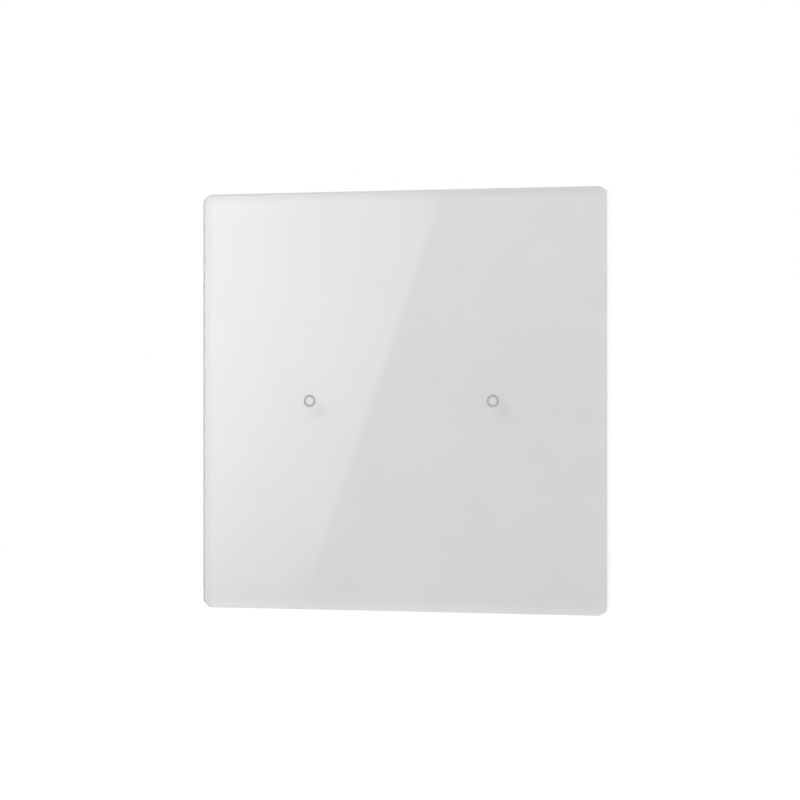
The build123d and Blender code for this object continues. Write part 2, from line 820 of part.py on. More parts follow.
def rectifier():
    """Flat bridge with four bent legs."""
    seat = power_board_back + bridge_leg_thickness
    body = brick(bridge_x, low_row_z, bridge_length, bridge_width, seat, seat + bridge_height)
    body = chamfer(far_edges(body, front=False), part_chamfer)
    arm_front = seat + bridge_height / 2
    arm_back = arm_front + bridge_leg_thickness
    for sx, sz in corner_signs:
        x = bridge_x + sx * bridge_leg_pitch / 2
        arm_z = low_row_z + sz * (bridge_width + bridge_leg_reach) / 2
        drop_z = low_row_z + sz * ((bridge_width + bridge_leg_thickness) / 2 + bridge_leg_reach)
        body += brick(x, arm_z, bridge_leg_width, bridge_leg_reach, arm_front, arm_back)
        body += brick(x, drop_z, bridge_leg_width, bridge_leg_thickness, power_board_back, arm_back)
    return body


def terminal_block(x):
    """Moulded block of one pole: a clamp chamber, a screw bore and a wire opening."""
    middle_z = (block_bottom + block_top) / 2
    block = brick(x, middle_z, pole_pitch, block_top - block_bottom, power_board_back, block_back)
    low_corners = block.edges().filter_by(Axis.Y).sort_by(Axis.Z)[:2]
    block = chamfer(low_corners, block_corner_cut)
    block -= brick(x, pole_z, chamber_width, chamber_length, power_board_back - overrun, chamber_back)
    leg_length = chamber_length / 2 + bar_thickness + chamber_play
    leg_room = Pos(x, pole_z + leg_length / 2) * Rectangle(bar_width + 2 * chamber_play, leg_length)
    block -= slab(leg_room, power_board_back - overrun, bar_back + chamber_play)
    head_room = Pos(x, pole_z) * flatted(terminal_head_radius + chamber_play)
    block -= slab(head_room, chamber_back - overrun, roof_front)
    block -= slab(Pos(x, pole_z) * flatted(driver_hole_radius), roof_front - overrun, block_back + overrun)
    return block - wire_window(x, wire_window_play, jaw_back, bar_front)


def contact_bars():
    """Four bent bars, each through its clamp and down into the board."""
    bars = []
    low = pole_z - cage_length / 2
    high = bar_leg_z + bar_thickness / 2
    for x in pole_places:
        bar = brick(x, (low + high) / 2, bar_width, high - low, bar_front, bar_back)
        bar += brick(x, bar_leg_z, bar_width, bar_thickness, power_board_back, bar_front)
        tail_front = power_board_depth - bar_leg_tail
        bars.append(bar + brick(x, bar_leg_z, bar_leg_width, bar_thickness, tail_front, power_board_back))
    return Compound(bars)


def terminal_screw(x):
    """Slotted screw driven from the rear."""
    body = rod(x, pole_z, terminal_head_radius, head_front, head_back)
    slot_front = head_back - driver_slot_depth
    body -= brick(x, pole_z, 2 * terminal_head_radius, driver_slot_width, slot_front, head_back + overrun)
    shank = Pos(x, pole_z) * flatted(terminal_shank_radius)
    return body + slab(shank, bar_back + terminal_tip_gap, head_front)


def clamp_cage(x):
    """Rectangular loop that lifts the wire against the contact bar."""
    cage = brick(x, pole_z, cage_width, cage_length, cage_front, cage_back)
    inner_width = cage_width - 2 * cage_side_wall
    cage -= brick(x, pole_z, inner_width, cage_length + overrun, jaw_back, wire_room_back)
    thread = Pos(x, pole_z) * flatted(terminal_shank_radius + terminal_thread_play)
    return cage - slab(thread, wire_room_back - overrun, cage_back + overrun)


def build_nodes():
    left, right = key_places
    spring, route = touch_spring()
    print(f"sensing spring: least gap between turns {least_turn_gap(route):.3f} mm")
    nodes = {
        "glass_panel": glass_panel(),
        "printed_film": printed_film(),
        "ring_marks": ring_marks(),
        "bonding_tape": bonding_tape(),
        "panel_carrier": panel_carrier(),
        "mounting_plate": mounting_plate(),
        "front_tray": front_tray(),
        "panel_springs": panel_springs(),
        "touch_board": touch_board(),
        "touch_spring_left": spring,
        "touch_spring_right": Rot(0, 180, 0) * spring,
        "light_guide_left": light_guide(left),
        "light_guide_right": light_guide(right),
        "led_left": led(left),
        "led_right": led(right),
        "touch_controller": touch_controller(),
        "smd_parts": smd_parts(),
        "board_screws": board_screws(),
        "pin_header": pin_header(),
        "header_socket": header_socket(),
        "rear_housing": rear_housing(),
        "housing_screws": housing_screws(),
        "power_board": power_board(),
        "relay_left": relay(-1),
        "relay_right": relay(1),
        "transformer_core": transformer_core(),
        "transformer_coil": transformer_coil(),
        "bulk_capacitor": bulk_capacitor(),
        "suppression_capacitor": suppression_capacitor(),
        "varistor": varistor(),
        "fuse": fuse(),
        "rectifier": rectifier(),
        "contact_bars": contact_bars(),
    }
    for pole, x in enumerate(pole_places, start=1):
        nodes[f"terminal_block_{pole}"] = terminal_block(x)
        nodes[f"terminal_screw_{pole}"] = terminal_screw(x)
        nodes[f"clamp_cage_{pole}"] = clamp_cage(x)
    return nodes


os.makedirs("parts", exist_ok=True)
for name, shape in build_nodes().items():
    export_step(shape, f"parts/{name}.step")
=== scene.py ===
import math

import bmesh
import bpy
import numpy as np
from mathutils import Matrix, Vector


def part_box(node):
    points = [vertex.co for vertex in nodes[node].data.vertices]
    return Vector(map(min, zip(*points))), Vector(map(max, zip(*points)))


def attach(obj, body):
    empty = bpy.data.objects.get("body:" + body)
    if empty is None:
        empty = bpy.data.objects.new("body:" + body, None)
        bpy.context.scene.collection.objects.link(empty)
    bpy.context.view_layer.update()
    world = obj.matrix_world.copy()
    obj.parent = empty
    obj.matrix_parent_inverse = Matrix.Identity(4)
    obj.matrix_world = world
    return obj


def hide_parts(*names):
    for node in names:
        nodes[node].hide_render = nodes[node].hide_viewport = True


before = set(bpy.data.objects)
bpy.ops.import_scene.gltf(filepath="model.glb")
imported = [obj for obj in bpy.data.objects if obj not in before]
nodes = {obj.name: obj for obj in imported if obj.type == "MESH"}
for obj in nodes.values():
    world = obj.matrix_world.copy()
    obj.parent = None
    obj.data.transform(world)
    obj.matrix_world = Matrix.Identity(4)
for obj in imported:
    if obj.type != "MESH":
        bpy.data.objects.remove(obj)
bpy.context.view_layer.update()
mm = 0.001
poles = range(1, 5)  # the mains terminals, from the left as seen from the room
print("frame loaded")

# Camera, from the perspective of the square panel
camera = {
    "azimuth": 16.6,
    "distance": 0.5736,
    "lens": 126.5,
    "shift": (-0.3 / 800, 0.9 / 800),  # pixels over the width of the picture
    "clip": 0.01,
}


def makeCamera():
    turn = math.radians(camera["azimuth"])
    data = bpy.data.cameras.new("camera")
    data.lens = camera["lens"]
    data.shift_x, data.shift_y = camera["shift"]
    data.clip_start = camera["clip"]
    item = bpy.data.objects.new("camera", data)
    back = Vector((math.sin(turn), -math.cos(turn), 0))
    aim = Vector((0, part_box("glass_panel")[0].y, 0))
    item.location = aim + back * camera["distance"]
    item.rotation_euler = back.to_track_quat("Z", "Y").to_euler()
    bpy.context.collection.objects.link(item)
    bpy.context.scene.camera = item


makeCamera()
print("camera placed")


def toLinear(hexText):
    # sRGB hex to linear red, green, blue and alpha
    srgb = np.array([int(hexText[i : i + 2], 16) for i in (1, 3, 5)]) / 255
    linear = np.where(srgb <= 0.04045, srgb / 12.92, ((srgb + 0.055) / 1.055) ** 2.4)
    return (*linear.tolist(), 1.0)


def addNode(tree, kind, settings=None, links=None):
    # one node: settings fill its own fields or its sockets, links come from a node or one of its sockets
    node = tree.nodes.new("ShaderNode" + kind)
    for name, value in (settings or {}).items():
        value = toLinear(value) if str(value).startswith("#") else value
        if isinstance(name, str) and hasattr(node, name):
            setattr(node, name, value)
        else:
            node.inputs[name].default_value = value
    for name, source in (links or {}).items():
        tree.links.new(getattr(source, "outputs", [source])[0], node.inputs[name])
    return node


def startSurface(name):
    # an empty material and the object's own coordinates
    material = bpy.data.materials.new(name)
    material.use_nodes = True
    tree = material.node_tree
    tree.nodes.clear()
    return material, tree, addNode(tree, "TexCoord").outputs["Object"]


# What a look has unless it says otherwise: patches, edge radius and bump depth in millimetres, bump strength
usualLook = {"patch": 9, "edge": 0.15, "bump": 0.25, "depth": 0.02}
# The middle of a noise, where nearly all of its values lie
noiseSpan = {"From Min": 0.35, "From Max": 0.65}


def finishSurface(tree, look, where, colour=None, height=None, metal=None):
    # two near tones in broad patches unless a colour comes in, fine grain in gloss and bump, softened edges
    look = dict(usualLook, **look)
    fine = addNode(tree, "TexNoise", {"Scale": 1 / (look["grain"] * mm), "Detail": 3.0}, {"Vector": where})
    if colour is None:
        broad = {"Scale": 1 / (look["patch"] * mm), "Detail": 3.0}
        patch = addNode(tree, "TexNoise", broad, {"Vector": where})
        share = addNode(tree, "MapRange", noiseSpan, {"Value": patch})
        tones = {"data_type": "RGBA", 6: look["colour"], 7: look["shade"]}
        colour = addNode(tree, "Mix", tones, {0: share}).outputs[2]
    low, high = look["rough"]
    gloss = addNode(tree, "MapRange", {**noiseSpan, "To Min": low, "To Max": high}, {"Value": fine})
    soft = addNode(tree, "Bevel", {"samples": 4, "Radius": look["edge"] * mm})
    relief = {"Strength": look["bump"], "Distance": look["depth"] * mm}
    bump = addNode(tree, "Bump", relief, {"Height": height or fine, "Normal": soft})
    links = {"Base Color": colour, "Roughness": gloss, "Normal": bump}
    if metal:
        links["Metallic"] = metal
    shader = addNode(tree, "BsdfPrincipled", look.get("sockets"), links)
    addNode(tree, "OutputMaterial", links={"Surface": shader})


def plainSurface(name, look):
    material, tree, where = startSurface(name)
    finishSurface(tree, look, where)
    return material


def dress(material, *names):
    # every face of these CAD nodes gets the material
    for name in names:
        mesh = nodes[name].data
        mesh.materials.clear()
        mesh.materials.append(material)


# Tempered soda-lime glass, float faces and polished rim: clear, mirror-smooth, a touch softer along the rim,
# which is where the normal turns away from the faces by more than flat allows
glassLook = {"tint": "#fdfdfd", "ior": 1.52, "face": (0.02, 0.035), "rim": 0.03, "smear": 14, "flat": 0.9}


def temperedGlass():
    look = glassLook
    material, tree, where = startSurface("temperedGlass")
    normal = addNode(tree, "TexCoord").outputs["Normal"]
    facing = addNode(tree, "SeparateXYZ", links={0: normal}).outputs["Y"]
    turned = addNode(tree, "Math", {"operation": "ABSOLUTE"}, {0: facing})
    onRim = addNode(tree, "Math", {"operation": "LESS_THAN", 1: look["flat"]}, {0: turned})
    smear = addNode(tree, "TexNoise", {"Scale": 1 / (look["smear"] * mm)}, {"Vector": where})
    low, high = look["face"]
    face = addNode(tree, "MapRange", {**noiseSpan, "To Min": low, "To Max": high}, {"Value": smear})
    gloss = addNode(tree, "Math", {"operation": "MULTIPLY_ADD", 1: look["rim"]}, {0: onRim, 2: face})
    sockets = {"Base Color": look["tint"], "IOR": look["ior"], "Transmission Weight": 1.0}
    glass = addNode(tree, "BsdfPrincipled", sockets, {"Roughness": gloss})
    clear = addNode(tree, "BsdfTransparent", {"Color": look["tint"]})
    path = addNode(tree, "LightPath").outputs
    rays = {0: path["Is Shadow Ray"], 1: path["Is Diffuse Ray"]}
    lamps = addNode(tree, "Math", {"operation": "MAXIMUM"}, rays)
    mix = addNode(tree, "MixShader", links={0: lamps, 1: glass, 2: clear})
    addNode(tree, "OutputMaterial", links={"Surface": mix})
    return material


# Screen-printed ceramic ink, baked: an even neutral white with the faintest mesh in its thickness
printLook = {
    "colour": "#dedede",
    "shade": "#dcdcdc",
    "grain": 0.25,
    "patch": 12,
    "rough": (0.5, 0.6),
    "bump": 0.05,
    "edge": 0.02,
}
# The same ink in grey on the front of the glass: matt beside the mirror of the glass
ringInk = {
    "colour": "#b1b1b1",
    "shade": "#b4b4b4",
    "grain": 0.2,
    "patch": 1,
    "rough": (0.5, 0.6),
    "bump": 0.1,
}

# Acrylic foam tape, cast with closed cells: dark grey and dull, pitted at 0.3 mm
tapeLook = {
    "colour": "#3a3a3b",
    "shade": "#323233",
    "grain": 0.3,
    "rough": (0.75, 0.9),
    "depth": 0.06,
    "cell": 0.3,
}


def foamTape():
    material, tree, where = startSurface("acrylicFoamTape")
    cells = addNode(tree, "TexVoronoi", {"Scale": 1 / (tapeLook["cell"] * mm)}, {"Vector": where})
    finishSurface(tree, tapeLook, where, height=cells)
    return material


# Injection-moulded ABS from a spark-eroded tool: warm white, fine even satin
absLook = {
    "colour": "#e4e3df",
    "shade": "#dfdeda",
    "grain": 0.22,
    "rough": (0.38, 0.5),
    "bump": 0.35,
    "edge": 0.2,
    "sockets": {"IOR": 1.53},
}

# Injection-moulded polycarbonate, light grey: satin, with the round gate mark of the tool on its back
housingLook = {
    "colour": "#cbcdcc",
    "shade": "#c7c9c8",
    "grain": 0.3,
    "rough": (0.4, 0.55),
    "bump": 0.45,
    "depth": 0.03,
    "edge": 0.3,
    "gate": (0.0, 6.0),
    "gateRing": (1.6, 0.12),
    "gateSink": 2.5,
    "sockets": {"IOR": 1.58},
}


def mouldedPolycarbonate():
    look = housingLook
    material, tree, where = startSurface("mouldedPolycarbonate")
    x, z = look["gate"]
    radius, half = look["gateRing"]
    spark = addNode(tree, "TexNoise", {"Scale": 1 / (look["grain"] * mm), "Detail": 3.0}, {"Vector": where})
    centred = {"Location": (-x * mm, 0, -z * mm), "Scale": (1, 0, 1)}
    across = addNode(tree, "Mapping", centred, {"Vector": where})
    reach = addNode(tree, "VectorMath", {"operation": "LENGTH"}, {0: across}).outputs["Value"]
    ring = addNode(tree, "Math", {"operation": "COMPARE", 1: radius * mm, 2: half * mm}, {0: reach})
    height = addNode(tree, "Math", {"operation": "MULTIPLY_ADD", 1: -look["gateSink"]}, {0: ring, 2: spark})
    finishSurface(tree, look, where, height=height)
    return material


# Zinc-plated cold-rolled steel: bluish, cloudy passivation over fine lines along the roll
plateLook = {
    "colour": "#b2b6b8",
    "shade": "#c3c6c7",
    "grain": 0.3,
    "rough": (0.28, 0.42),
    "bump": 0.14,
    "cloud": 7,
    "line": 0.18,
    "draw": 0.04,
    "lineShare": 0.4,
    "span": (0.38, 0.62),
    "sockets": {"Metallic": 1.0},
}


def zincPlatedSteel():
    look = plateLook
    material, tree, where = startSurface("zincPlatedSteel")
    cloud = addNode(tree, "TexNoise", {"Scale": 1 / (look["cloud"] * mm), "Detail": 4.0}, {"Vector": where})
    drawn = addNode(tree, "Mapping", {"Scale": (1, 1, look["draw"])}, {"Vector": where})
    line = addNode(tree, "TexNoise", {"Scale": 1 / (look["line"] * mm)}, {"Vector": drawn})
    pattern = addNode(tree, "Mix", {0: look["lineShare"]}, {2: cloud, 3: line})
    low, high = look["span"]
    share = addNode(tree, "MapRange", {"From Min": low, "From Max": high}, {"Value": pattern})
    tones = {"data_type": "RGBA", 6: look["colour"], 7: look["shade"]}
    colour = addNode(tree, "Mix", tones, {0: share}).outputs[2]
    finishSurface(tree, look, where, colour, line)
    return material


# Stainless spring strip and wire, drawn: bright, smooth, in two near tones that change in small random
# patches
springLook = {
    "colour": "#b9b9b7",
    "shade": "#cfcfcd",
    "grain": 0.12,
    "patch": 1.5,
    "rough": (0.16, 0.26),
    "bump": 0.1,
    "depth": 0.005,
    "edge": 0.05,
    "sockets": {"Metallic": 1.0},
}

# Zinc-plated screws, barrel-plated: bright with a thin bluish cloud
zincScrewLook = dict(springLook, colour="#b4b8bb", shade="#c8cbcc", grain=0.15, patch=1.0, rough=(0.2, 0.34))

# Nickel-plated screws and clamps, tumbled: warmer than zinc, the clamps duller than the screws
nickelLook = dict(springLook, colour="#b5b0a6", shade="#c9c4b9", grain=0.15, patch=1.0, rough=(0.16, 0.28))
clampLook = dict(nickelLook, colour="#b7b2a6", shade="#a29d92", rough=(0.3, 0.45), bump=0.2)

# Tinned brass bar, stamped: pale yellow where the tin is thin
brassLook = dict(springLook, colour="#c9a262", shade="#b98f4f", rough=(0.22, 0.36), bump=0.15)

# Tin solder, reflowed: bright and slightly rippled
solderLook = dict(springLook, colour="#c6c6c3", shade="#b4b4b1", patch=0.6, rough=(0.18, 0.34), bump=0.3)

# Glass-fibre board under solder mask: glossy, the cloth shows through as a grid of threads 0.55 mm apart
maskLook = {"grain": 0.3, "bump": 0.25, "depth": 0.012, "rough": (0.27, 0.36), "edge": 0.08, "thread": 0.55}
maskTones = {
    "white": {"colour": "#d8dad6", "shade": "#cfd1cc"},
    "green": {"colour": "#1f5c38", "shade": "#1a5231"},
}
traceLook = dict(maskLook, colour="#c3c7c0", shade="#bcc0b9")
silkLook = dict(maskLook, colour="#3d3e40", shade="#47484a", rough=(0.5, 0.62))


def solderMask(kind):
    look = dict(maskLook, **maskTones[kind])
    material, tree, where = startSurface(kind + "SolderMask")
    turns = [2 * math.pi / (look["thread"] * mm)] * 3
    scaled = addNode(tree, "VectorMath", {"operation": "MULTIPLY", 1: turns}, {0: where})
    waves = addNode(tree, "VectorMath", {"operation": "SINE"}, {0: scaled})
    threads = addNode(tree, "SeparateXYZ", links={0: waves}).outputs
    weave = addNode(tree, "Math", {"operation": "MULTIPLY"}, {0: threads["X"], 1: threads["Z"]})
    finishSurface(tree, look, where, height=weave)
    return material


# Clear acrylic, moulded: glassy with a light frost that spreads the lamp
guideLook = {
    "colour": "#eef3f5",
    "shade": "#e9eff2",
    "grain": 0.2,
    "rough": (0.12, 0.25),
    "edge": 0.05,
    "sockets": {"IOR": 1.49, "Transmission Weight": 1.0},
}

# Lamp package, white PPA cup under a yellow phosphor face
lampLook = {
    "cup": "#e6e4dc",
    "phosphor": "#e8d878",
    "grain": 0.1,
    "rough": (0.3, 0.45),
    "face": 0.45,
    "edge": 0.05,
}


def lampPackage():
    look = lampLook
    material, tree, where = startSurface("lampPackage")
    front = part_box("led_left")[0].y
    depth = addNode(tree, "SeparateXYZ", links={0: where}).outputs["Y"]
    face = addNode(tree, "Math", {"operation": "LESS_THAN", 1: front + look["face"] * mm}, {0: depth})
    tones = {"data_type": "RGBA", 6: look["cup"], 7: look["phosphor"]}
    finishSurface(tree, look, where, addNode(tree, "Mix", tones, {0: face}).outputs[2])
    return material


# Transfer-moulded epoxy with tinned leads: charcoal with fine silica flecks, bright metal at both ends
chipLook = {
    "body": "#1c1c1d",
    "fleck": "#2a2a2b",
    "lead": "#b9b7b0",
    "leads": {"touch_controller": 1.0, "rectifier": 1.3},
    "grain": 0.1,
    "rough": (0.3, 0.5),
    "bump": 0.3,
    "depth": 0.01,
    "edge": 0.04,
}


def leadedChip(name, node):
    # the leads stand out from the body at both ends, along Z
    look = chipLook
    material, tree, where = startSurface(name)
    low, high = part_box(node)
    along = addNode(tree, "SeparateXYZ", links={0: where}).outputs["Z"]
    middle, half = (low.z + high.z) / 2, (high.z - low.z) / 2 - look["leads"][node] * mm
    body = addNode(tree, "Math", {"operation": "COMPARE", 1: middle, 2: half}, {0: along})
    lead = addNode(tree, "Math", {"operation": "SUBTRACT", 0: 1.0}, {1: body})
    silica = addNode(tree, "TexNoise", {"Scale": 1 / (look["grain"] * mm)}, {"Vector": where})
    epoxy = addNode(tree, "Mix", {"data_type": "RGBA", 6: look["body"], 7: look["fleck"]}, {0: silica})
    colour = addNode(tree, "Mix", {"data_type": "RGBA", 7: look["lead"]}, {0: lead, 6: epoxy.outputs[2]})
    finishSurface(tree, look, where, colour.outputs[2], metal=lead)
    return material


# Chip capacitors and resistors, fired ceramic between tinned ends: brown or black, one kind per place
smallLook = {
    "rows": (5.5, -9.5),
    "half": 0.5,
    "pitch": 3.0,
    "end": "#c4c2bc",
    "brown": "#6a5137",
    "black": "#1f1f22",
    "grain": 0.08,
    "rough": (0.3, 0.5),
    "depth": 0.01,
    "edge": 0.05,
}


def chipCeramic():
    look = smallLook
    material, tree, where = startSurface("chipCeramic")
    axes = addNode(tree, "SeparateXYZ", links={0: where}).outputs
    rows = [
        addNode(tree, "Math", {"operation": "COMPARE", 1: row * mm, 2: look["half"] * mm}, {0: axes["Z"]})
        for row in look["rows"]
    ]
    body = addNode(tree, "Math", {"operation": "ADD"}, {0: rows[0], 1: rows[1]})
    moved = addNode(tree, "Math", {"operation": "ADD", 1: look["pitch"] / 2 * mm}, {0: axes["X"]})
    place = addNode(tree, "Math", {"operation": "SNAP", 1: look["pitch"] * mm}, {0: moved})
    chance = addNode(tree, "TexWhiteNoise", {"noise_dimensions": "1D"}, {"W": place})
    kind = addNode(tree, "Math", {"operation": "GREATER_THAN", 1: 0.5}, {0: chance})
    fired = addNode(tree, "Mix", {"data_type": "RGBA", 6: look["brown"], 7: look["black"]}, {0: kind})
    colour = addNode(tree, "Mix", {"data_type": "RGBA", 6: look["end"]}, {0: body, 7: fired.outputs[2]})
    finishSurface(tree, look, where, colour.outputs[2])
    return material


# Glass-filled nylon, moulded: near black and slightly fibrous; the header's pins are flashed with gold
nylonLook = {"colour": "#1a1a1b", "shade": "#242425", "grain": 0.2, "rough": (0.4, 0.55), "depth": 0.015}
pinGold = {"colour": "#c9a85a", "bar": (1.9, 4.4)}


def headerNylon():
    look = nylonLook
    material, tree, where = startSurface("headerNylon")
    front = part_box("pin_header")[0].y
    start, end = [front + place * mm for place in pinGold["bar"]]
    depth = addNode(tree, "SeparateXYZ", links={0: where}).outputs["Y"]
    middle, half = (start + end) / 2, (end - start) / 2
    bar = addNode(tree, "Math", {"operation": "COMPARE", 1: middle, 2: half}, {0: depth})
    pin = addNode(tree, "Math", {"operation": "SUBTRACT", 0: 1.0}, {1: bar})
    fibre = addNode(tree, "TexNoise", {"Scale": 1 / (look["grain"] * mm)}, {"Vector": where})
    nylon = addNode(tree, "Mix", {"data_type": "RGBA", 6: look["colour"], 7: look["shade"]}, {0: fibre})
    colour = addNode(tree, "Mix", {"data_type": "RGBA", 7: pinGold["colour"]}, {0: pin, 6: nylon.outputs[2]})
    finishSurface(tree, look, where, colour.outputs[2], metal=pin)
    return material


# Relay covers, moulded PBT: black and semi-glossy with long flow marks
relayLook = {
    "colour": "#1d1e21",
    "shade": "#2a2b2f",
    "grain": 0.25,
    "rough": (0.28, 0.4),
    "bump": 0.2,
    "flow": 5,
    "stretch": 0.15,
}


def relayCover():
    look = relayLook
    material, tree, where = startSurface("relayCover")
    stretched = addNode(tree, "Mapping", {"Scale": (look["stretch"], 1, 1)}, {"Vector": where})
    marks = {"Scale": 1 / (look["flow"] * mm), "Distortion": 1.0}
    flow = addNode(tree, "TexNoise", marks, {"Vector": stretched})
    colour = addNode(tree, "Mix", {"data_type": "RGBA", 6: look["colour"], 7: look["shade"]}, {0: flow})
    finishSurface(tree, look, where, colour.outputs[2])
    return material


# Sintered ferrite, ground on its faces: charcoal, grainy at 0.12 mm
ferriteLook = {
    "colour": "#3b3b3d",
    "shade": "#2f2f31",
    "grain": 0.12,
    "patch": 2,
    "rough": (0.45, 0.65),
    "bump": 0.4,
}

# Polyester film tape over the winding: yellow and glossy, its turns' edges 2.4 mm apart
windingLook = {
    "colour": "#d8b429",
    "shade": "#b98f17",
    "grain": 0.4,
    "rough": (0.2, 0.32),
    "bump": 0.3,
    "turn": 2.4,
    "rim": 0.15,
}


def windingTape():
    look = windingLook
    material, tree, where = startSurface("windingTape")
    depth = addNode(tree, "SeparateXYZ", links={0: where}).outputs["Y"]
    turn = addNode(tree, "Math", {"operation": "PINGPONG", 1: look["turn"] / 2 * mm}, {0: depth})
    fading = {"From Max": look["rim"] * mm, "To Min": 1.0, "To Max": 0.0}
    rim = addNode(tree, "MapRange", fading, {"Value": turn})
    colour = addNode(tree, "Mix", {"data_type": "RGBA", 6: look["colour"], 7: look["shade"]}, {0: rim})
    finishSurface(tree, look, where, colour.outputs[2], rim)
    return material


# Shrunk PVC sleeve on an aluminium can: near black and glossy, a pale stripe on one side, a scored bare end
canLook = {
    "sleeve": "#17181b",
    "stripe": "#b9bbbd",
    "metal": "#c7c8c8",
    "stripeHalf": 1.0,
    "bareRadius": 3.1,
    "end": 0.35,
    "score": 0.12,
    "grain": 0.3,
    "rough": (0.22, 0.34),
    "bump": 0.2,
}


def canSleeve():
    look = canLook
    material, tree, where = startSurface("shrunkSleeve")
    low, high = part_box("bulk_capacitor")
    centre = (low + high) / 2
    offset = {"Location": (-centre.x, 0, -centre.z), "Scale": (1, 0, 1)}
    across = addNode(tree, "Mapping", offset, {"Vector": where})
    sides = addNode(tree, "SeparateXYZ", links={0: across}).outputs
    depth = addNode(tree, "SeparateXYZ", links={0: where}).outputs["Y"]
    reach = addNode(tree, "VectorMath", {"operation": "LENGTH"}, {0: across}).outputs["Value"]
    near = addNode(tree, "Math", {"operation": "LESS_THAN", 1: look["bareRadius"] * mm}, {0: reach})
    top = addNode(tree, "Math", {"operation": "GREATER_THAN", 1: high.y - look["end"] * mm}, {0: depth})
    bare = addNode(tree, "Math", {"operation": "MULTIPLY"}, {0: near, 1: top})
    middle = {"operation": "COMPARE", 1: 0.0, 2: look["stripeHalf"] * mm}
    line = addNode(tree, "Math", middle, {0: sides["X"]})
    under = addNode(tree, "Math", {"operation": "LESS_THAN", 1: 0.0}, {0: sides["Z"]})
    stripe = addNode(tree, "Math", {"operation": "MULTIPLY"}, {0: line, 1: under})
    scores = [
        addNode(tree, "Math", {"operation": "COMPARE", 1: 0.0, 2: look["score"] * mm}, {0: sides[axis]})
        for axis in ("X", "Z")
    ]
    cross = addNode(tree, "Math", {"operation": "MAXIMUM"}, {0: scores[0], 1: scores[1]})
    scored = addNode(tree, "Math", {"operation": "MULTIPLY"}, {0: cross, 1: bare})
    height = addNode(tree, "Math", {"operation": "SUBTRACT", 0: 1.0}, {1: scored})
    sleeve = addNode(tree, "Mix", {"data_type": "RGBA", 6: look["sleeve"], 7: look["stripe"]}, {0: stripe})
    colour = addNode(tree, "Mix", {"data_type": "RGBA", 7: look["metal"]}, {0: bare, 6: sleeve.outputs[2]})
    finishSurface(tree, look, where, colour.outputs[2], height, bare)
    return material


# Moulded PBT box of a film capacitor: mustard, matt
filmBoxLook = {"colour": "#d2b04a", "shade": "#c7a43f", "grain": 0.25, "patch": 4, "rough": (0.4, 0.52)}
# Dipped epoxy: blue, slightly lumpy at 0.5 mm
dippedLook = {
    "colour": "#23458f",
    "shade": "#1d3b80",
    "grain": 0.5,
    "patch": 2,
    "rough": (0.3, 0.45),
    "bump": 0.4,
}
# Moulded phenolic cap: brown, satin
fuseLook = {
    "colour": "#4a2c1c",
    "shade": "#3f2417",
    "grain": 0.25,
    "patch": 3,
    "rough": (0.35, 0.5),
    "bump": 0.2,
}
# Moulded polyamide: mid grey, matt, softly mottled
blockLook = {
    "colour": "#63676a",
    "shade": "#5b5f62",
    "grain": 0.25,
    "patch": 4,
    "rough": (0.42, 0.56),
    "bump": 0.35,
}


def dressNodes():
    dress(temperedGlass(), "glass_panel")
    dress(foamTape(), "bonding_tape")
    dress(plainSurface("mouldedAbs", absLook), "panel_carrier", "front_tray")
    dress(zincPlatedSteel(), "mounting_plate")
    dress(plainSurface("springStrip", springLook), "panel_springs")
    dress(solderMask("white"), "touch_board")
    dress(solderMask("green"), "power_board")
    dress(plainSurface("clearAcrylic", guideLook), "light_guide_left", "light_guide_right")
    dress(lampPackage(), "led_left", "led_right")
    dress(leadedChip("chipEpoxy", "touch_controller"), "touch_controller")
    dress(leadedChip("bridgeEpoxy", "rectifier"), "rectifier")
    dress(chipCeramic(), "smd_parts")
    dress(headerNylon(), "pin_header")
    dress(plainSurface("socketNylon", nylonLook), "header_socket")
    dress(mouldedPolycarbonate(), "rear_housing")
    dress(relayCover(), "relay_left", "relay_right")
    dress(plainSurface("sinteredFerrite", ferriteLook), "transformer_core")
    dress(windingTape(), "transformer_coil")
    dress(canSleeve(), "bulk_capacitor")
    dress(plainSurface("filmBox", filmBoxLook), "suppression_capacitor")
    dress(plainSurface("tinnedBrass", brassLook), "contact_bars")
    dress(plainSurface("nickelClamp", clampLook), *[f"clamp_cage_{pole}" for pole in poles])
    dress(plainSurface("mouldedPolyamide", blockLook), *[f"terminal_block_{pole}" for pole in poles])


dressNodes()
print("materials made")


def makeGrid(points, closedU=False, closedV=False):
    # points in millimetres on a grid, u down the rows and v along them, and the quads between them
    rows, columns = points.shape[:2]
    index = np.arange(rows * columns).reshape(rows, columns)
    index = np.vstack([index, index[:1]]) if closedU else index
    index = np.hstack([index, index[:, :1]]) if closedV else index
    quads = np.stack([index[:-1, :-1], index[1:, :-1], index[1:, 1:], index[:-1, 1:]], axis=-1)
    return points.reshape(-1, 3) * mm, quads.reshape(-1, 4)


# How near points merge and how short edges go, in millimetres, and from what angle creases stay, in degrees
meshing = {"merge": 0.0005, "collapse": 0.0001, "crease": 35}


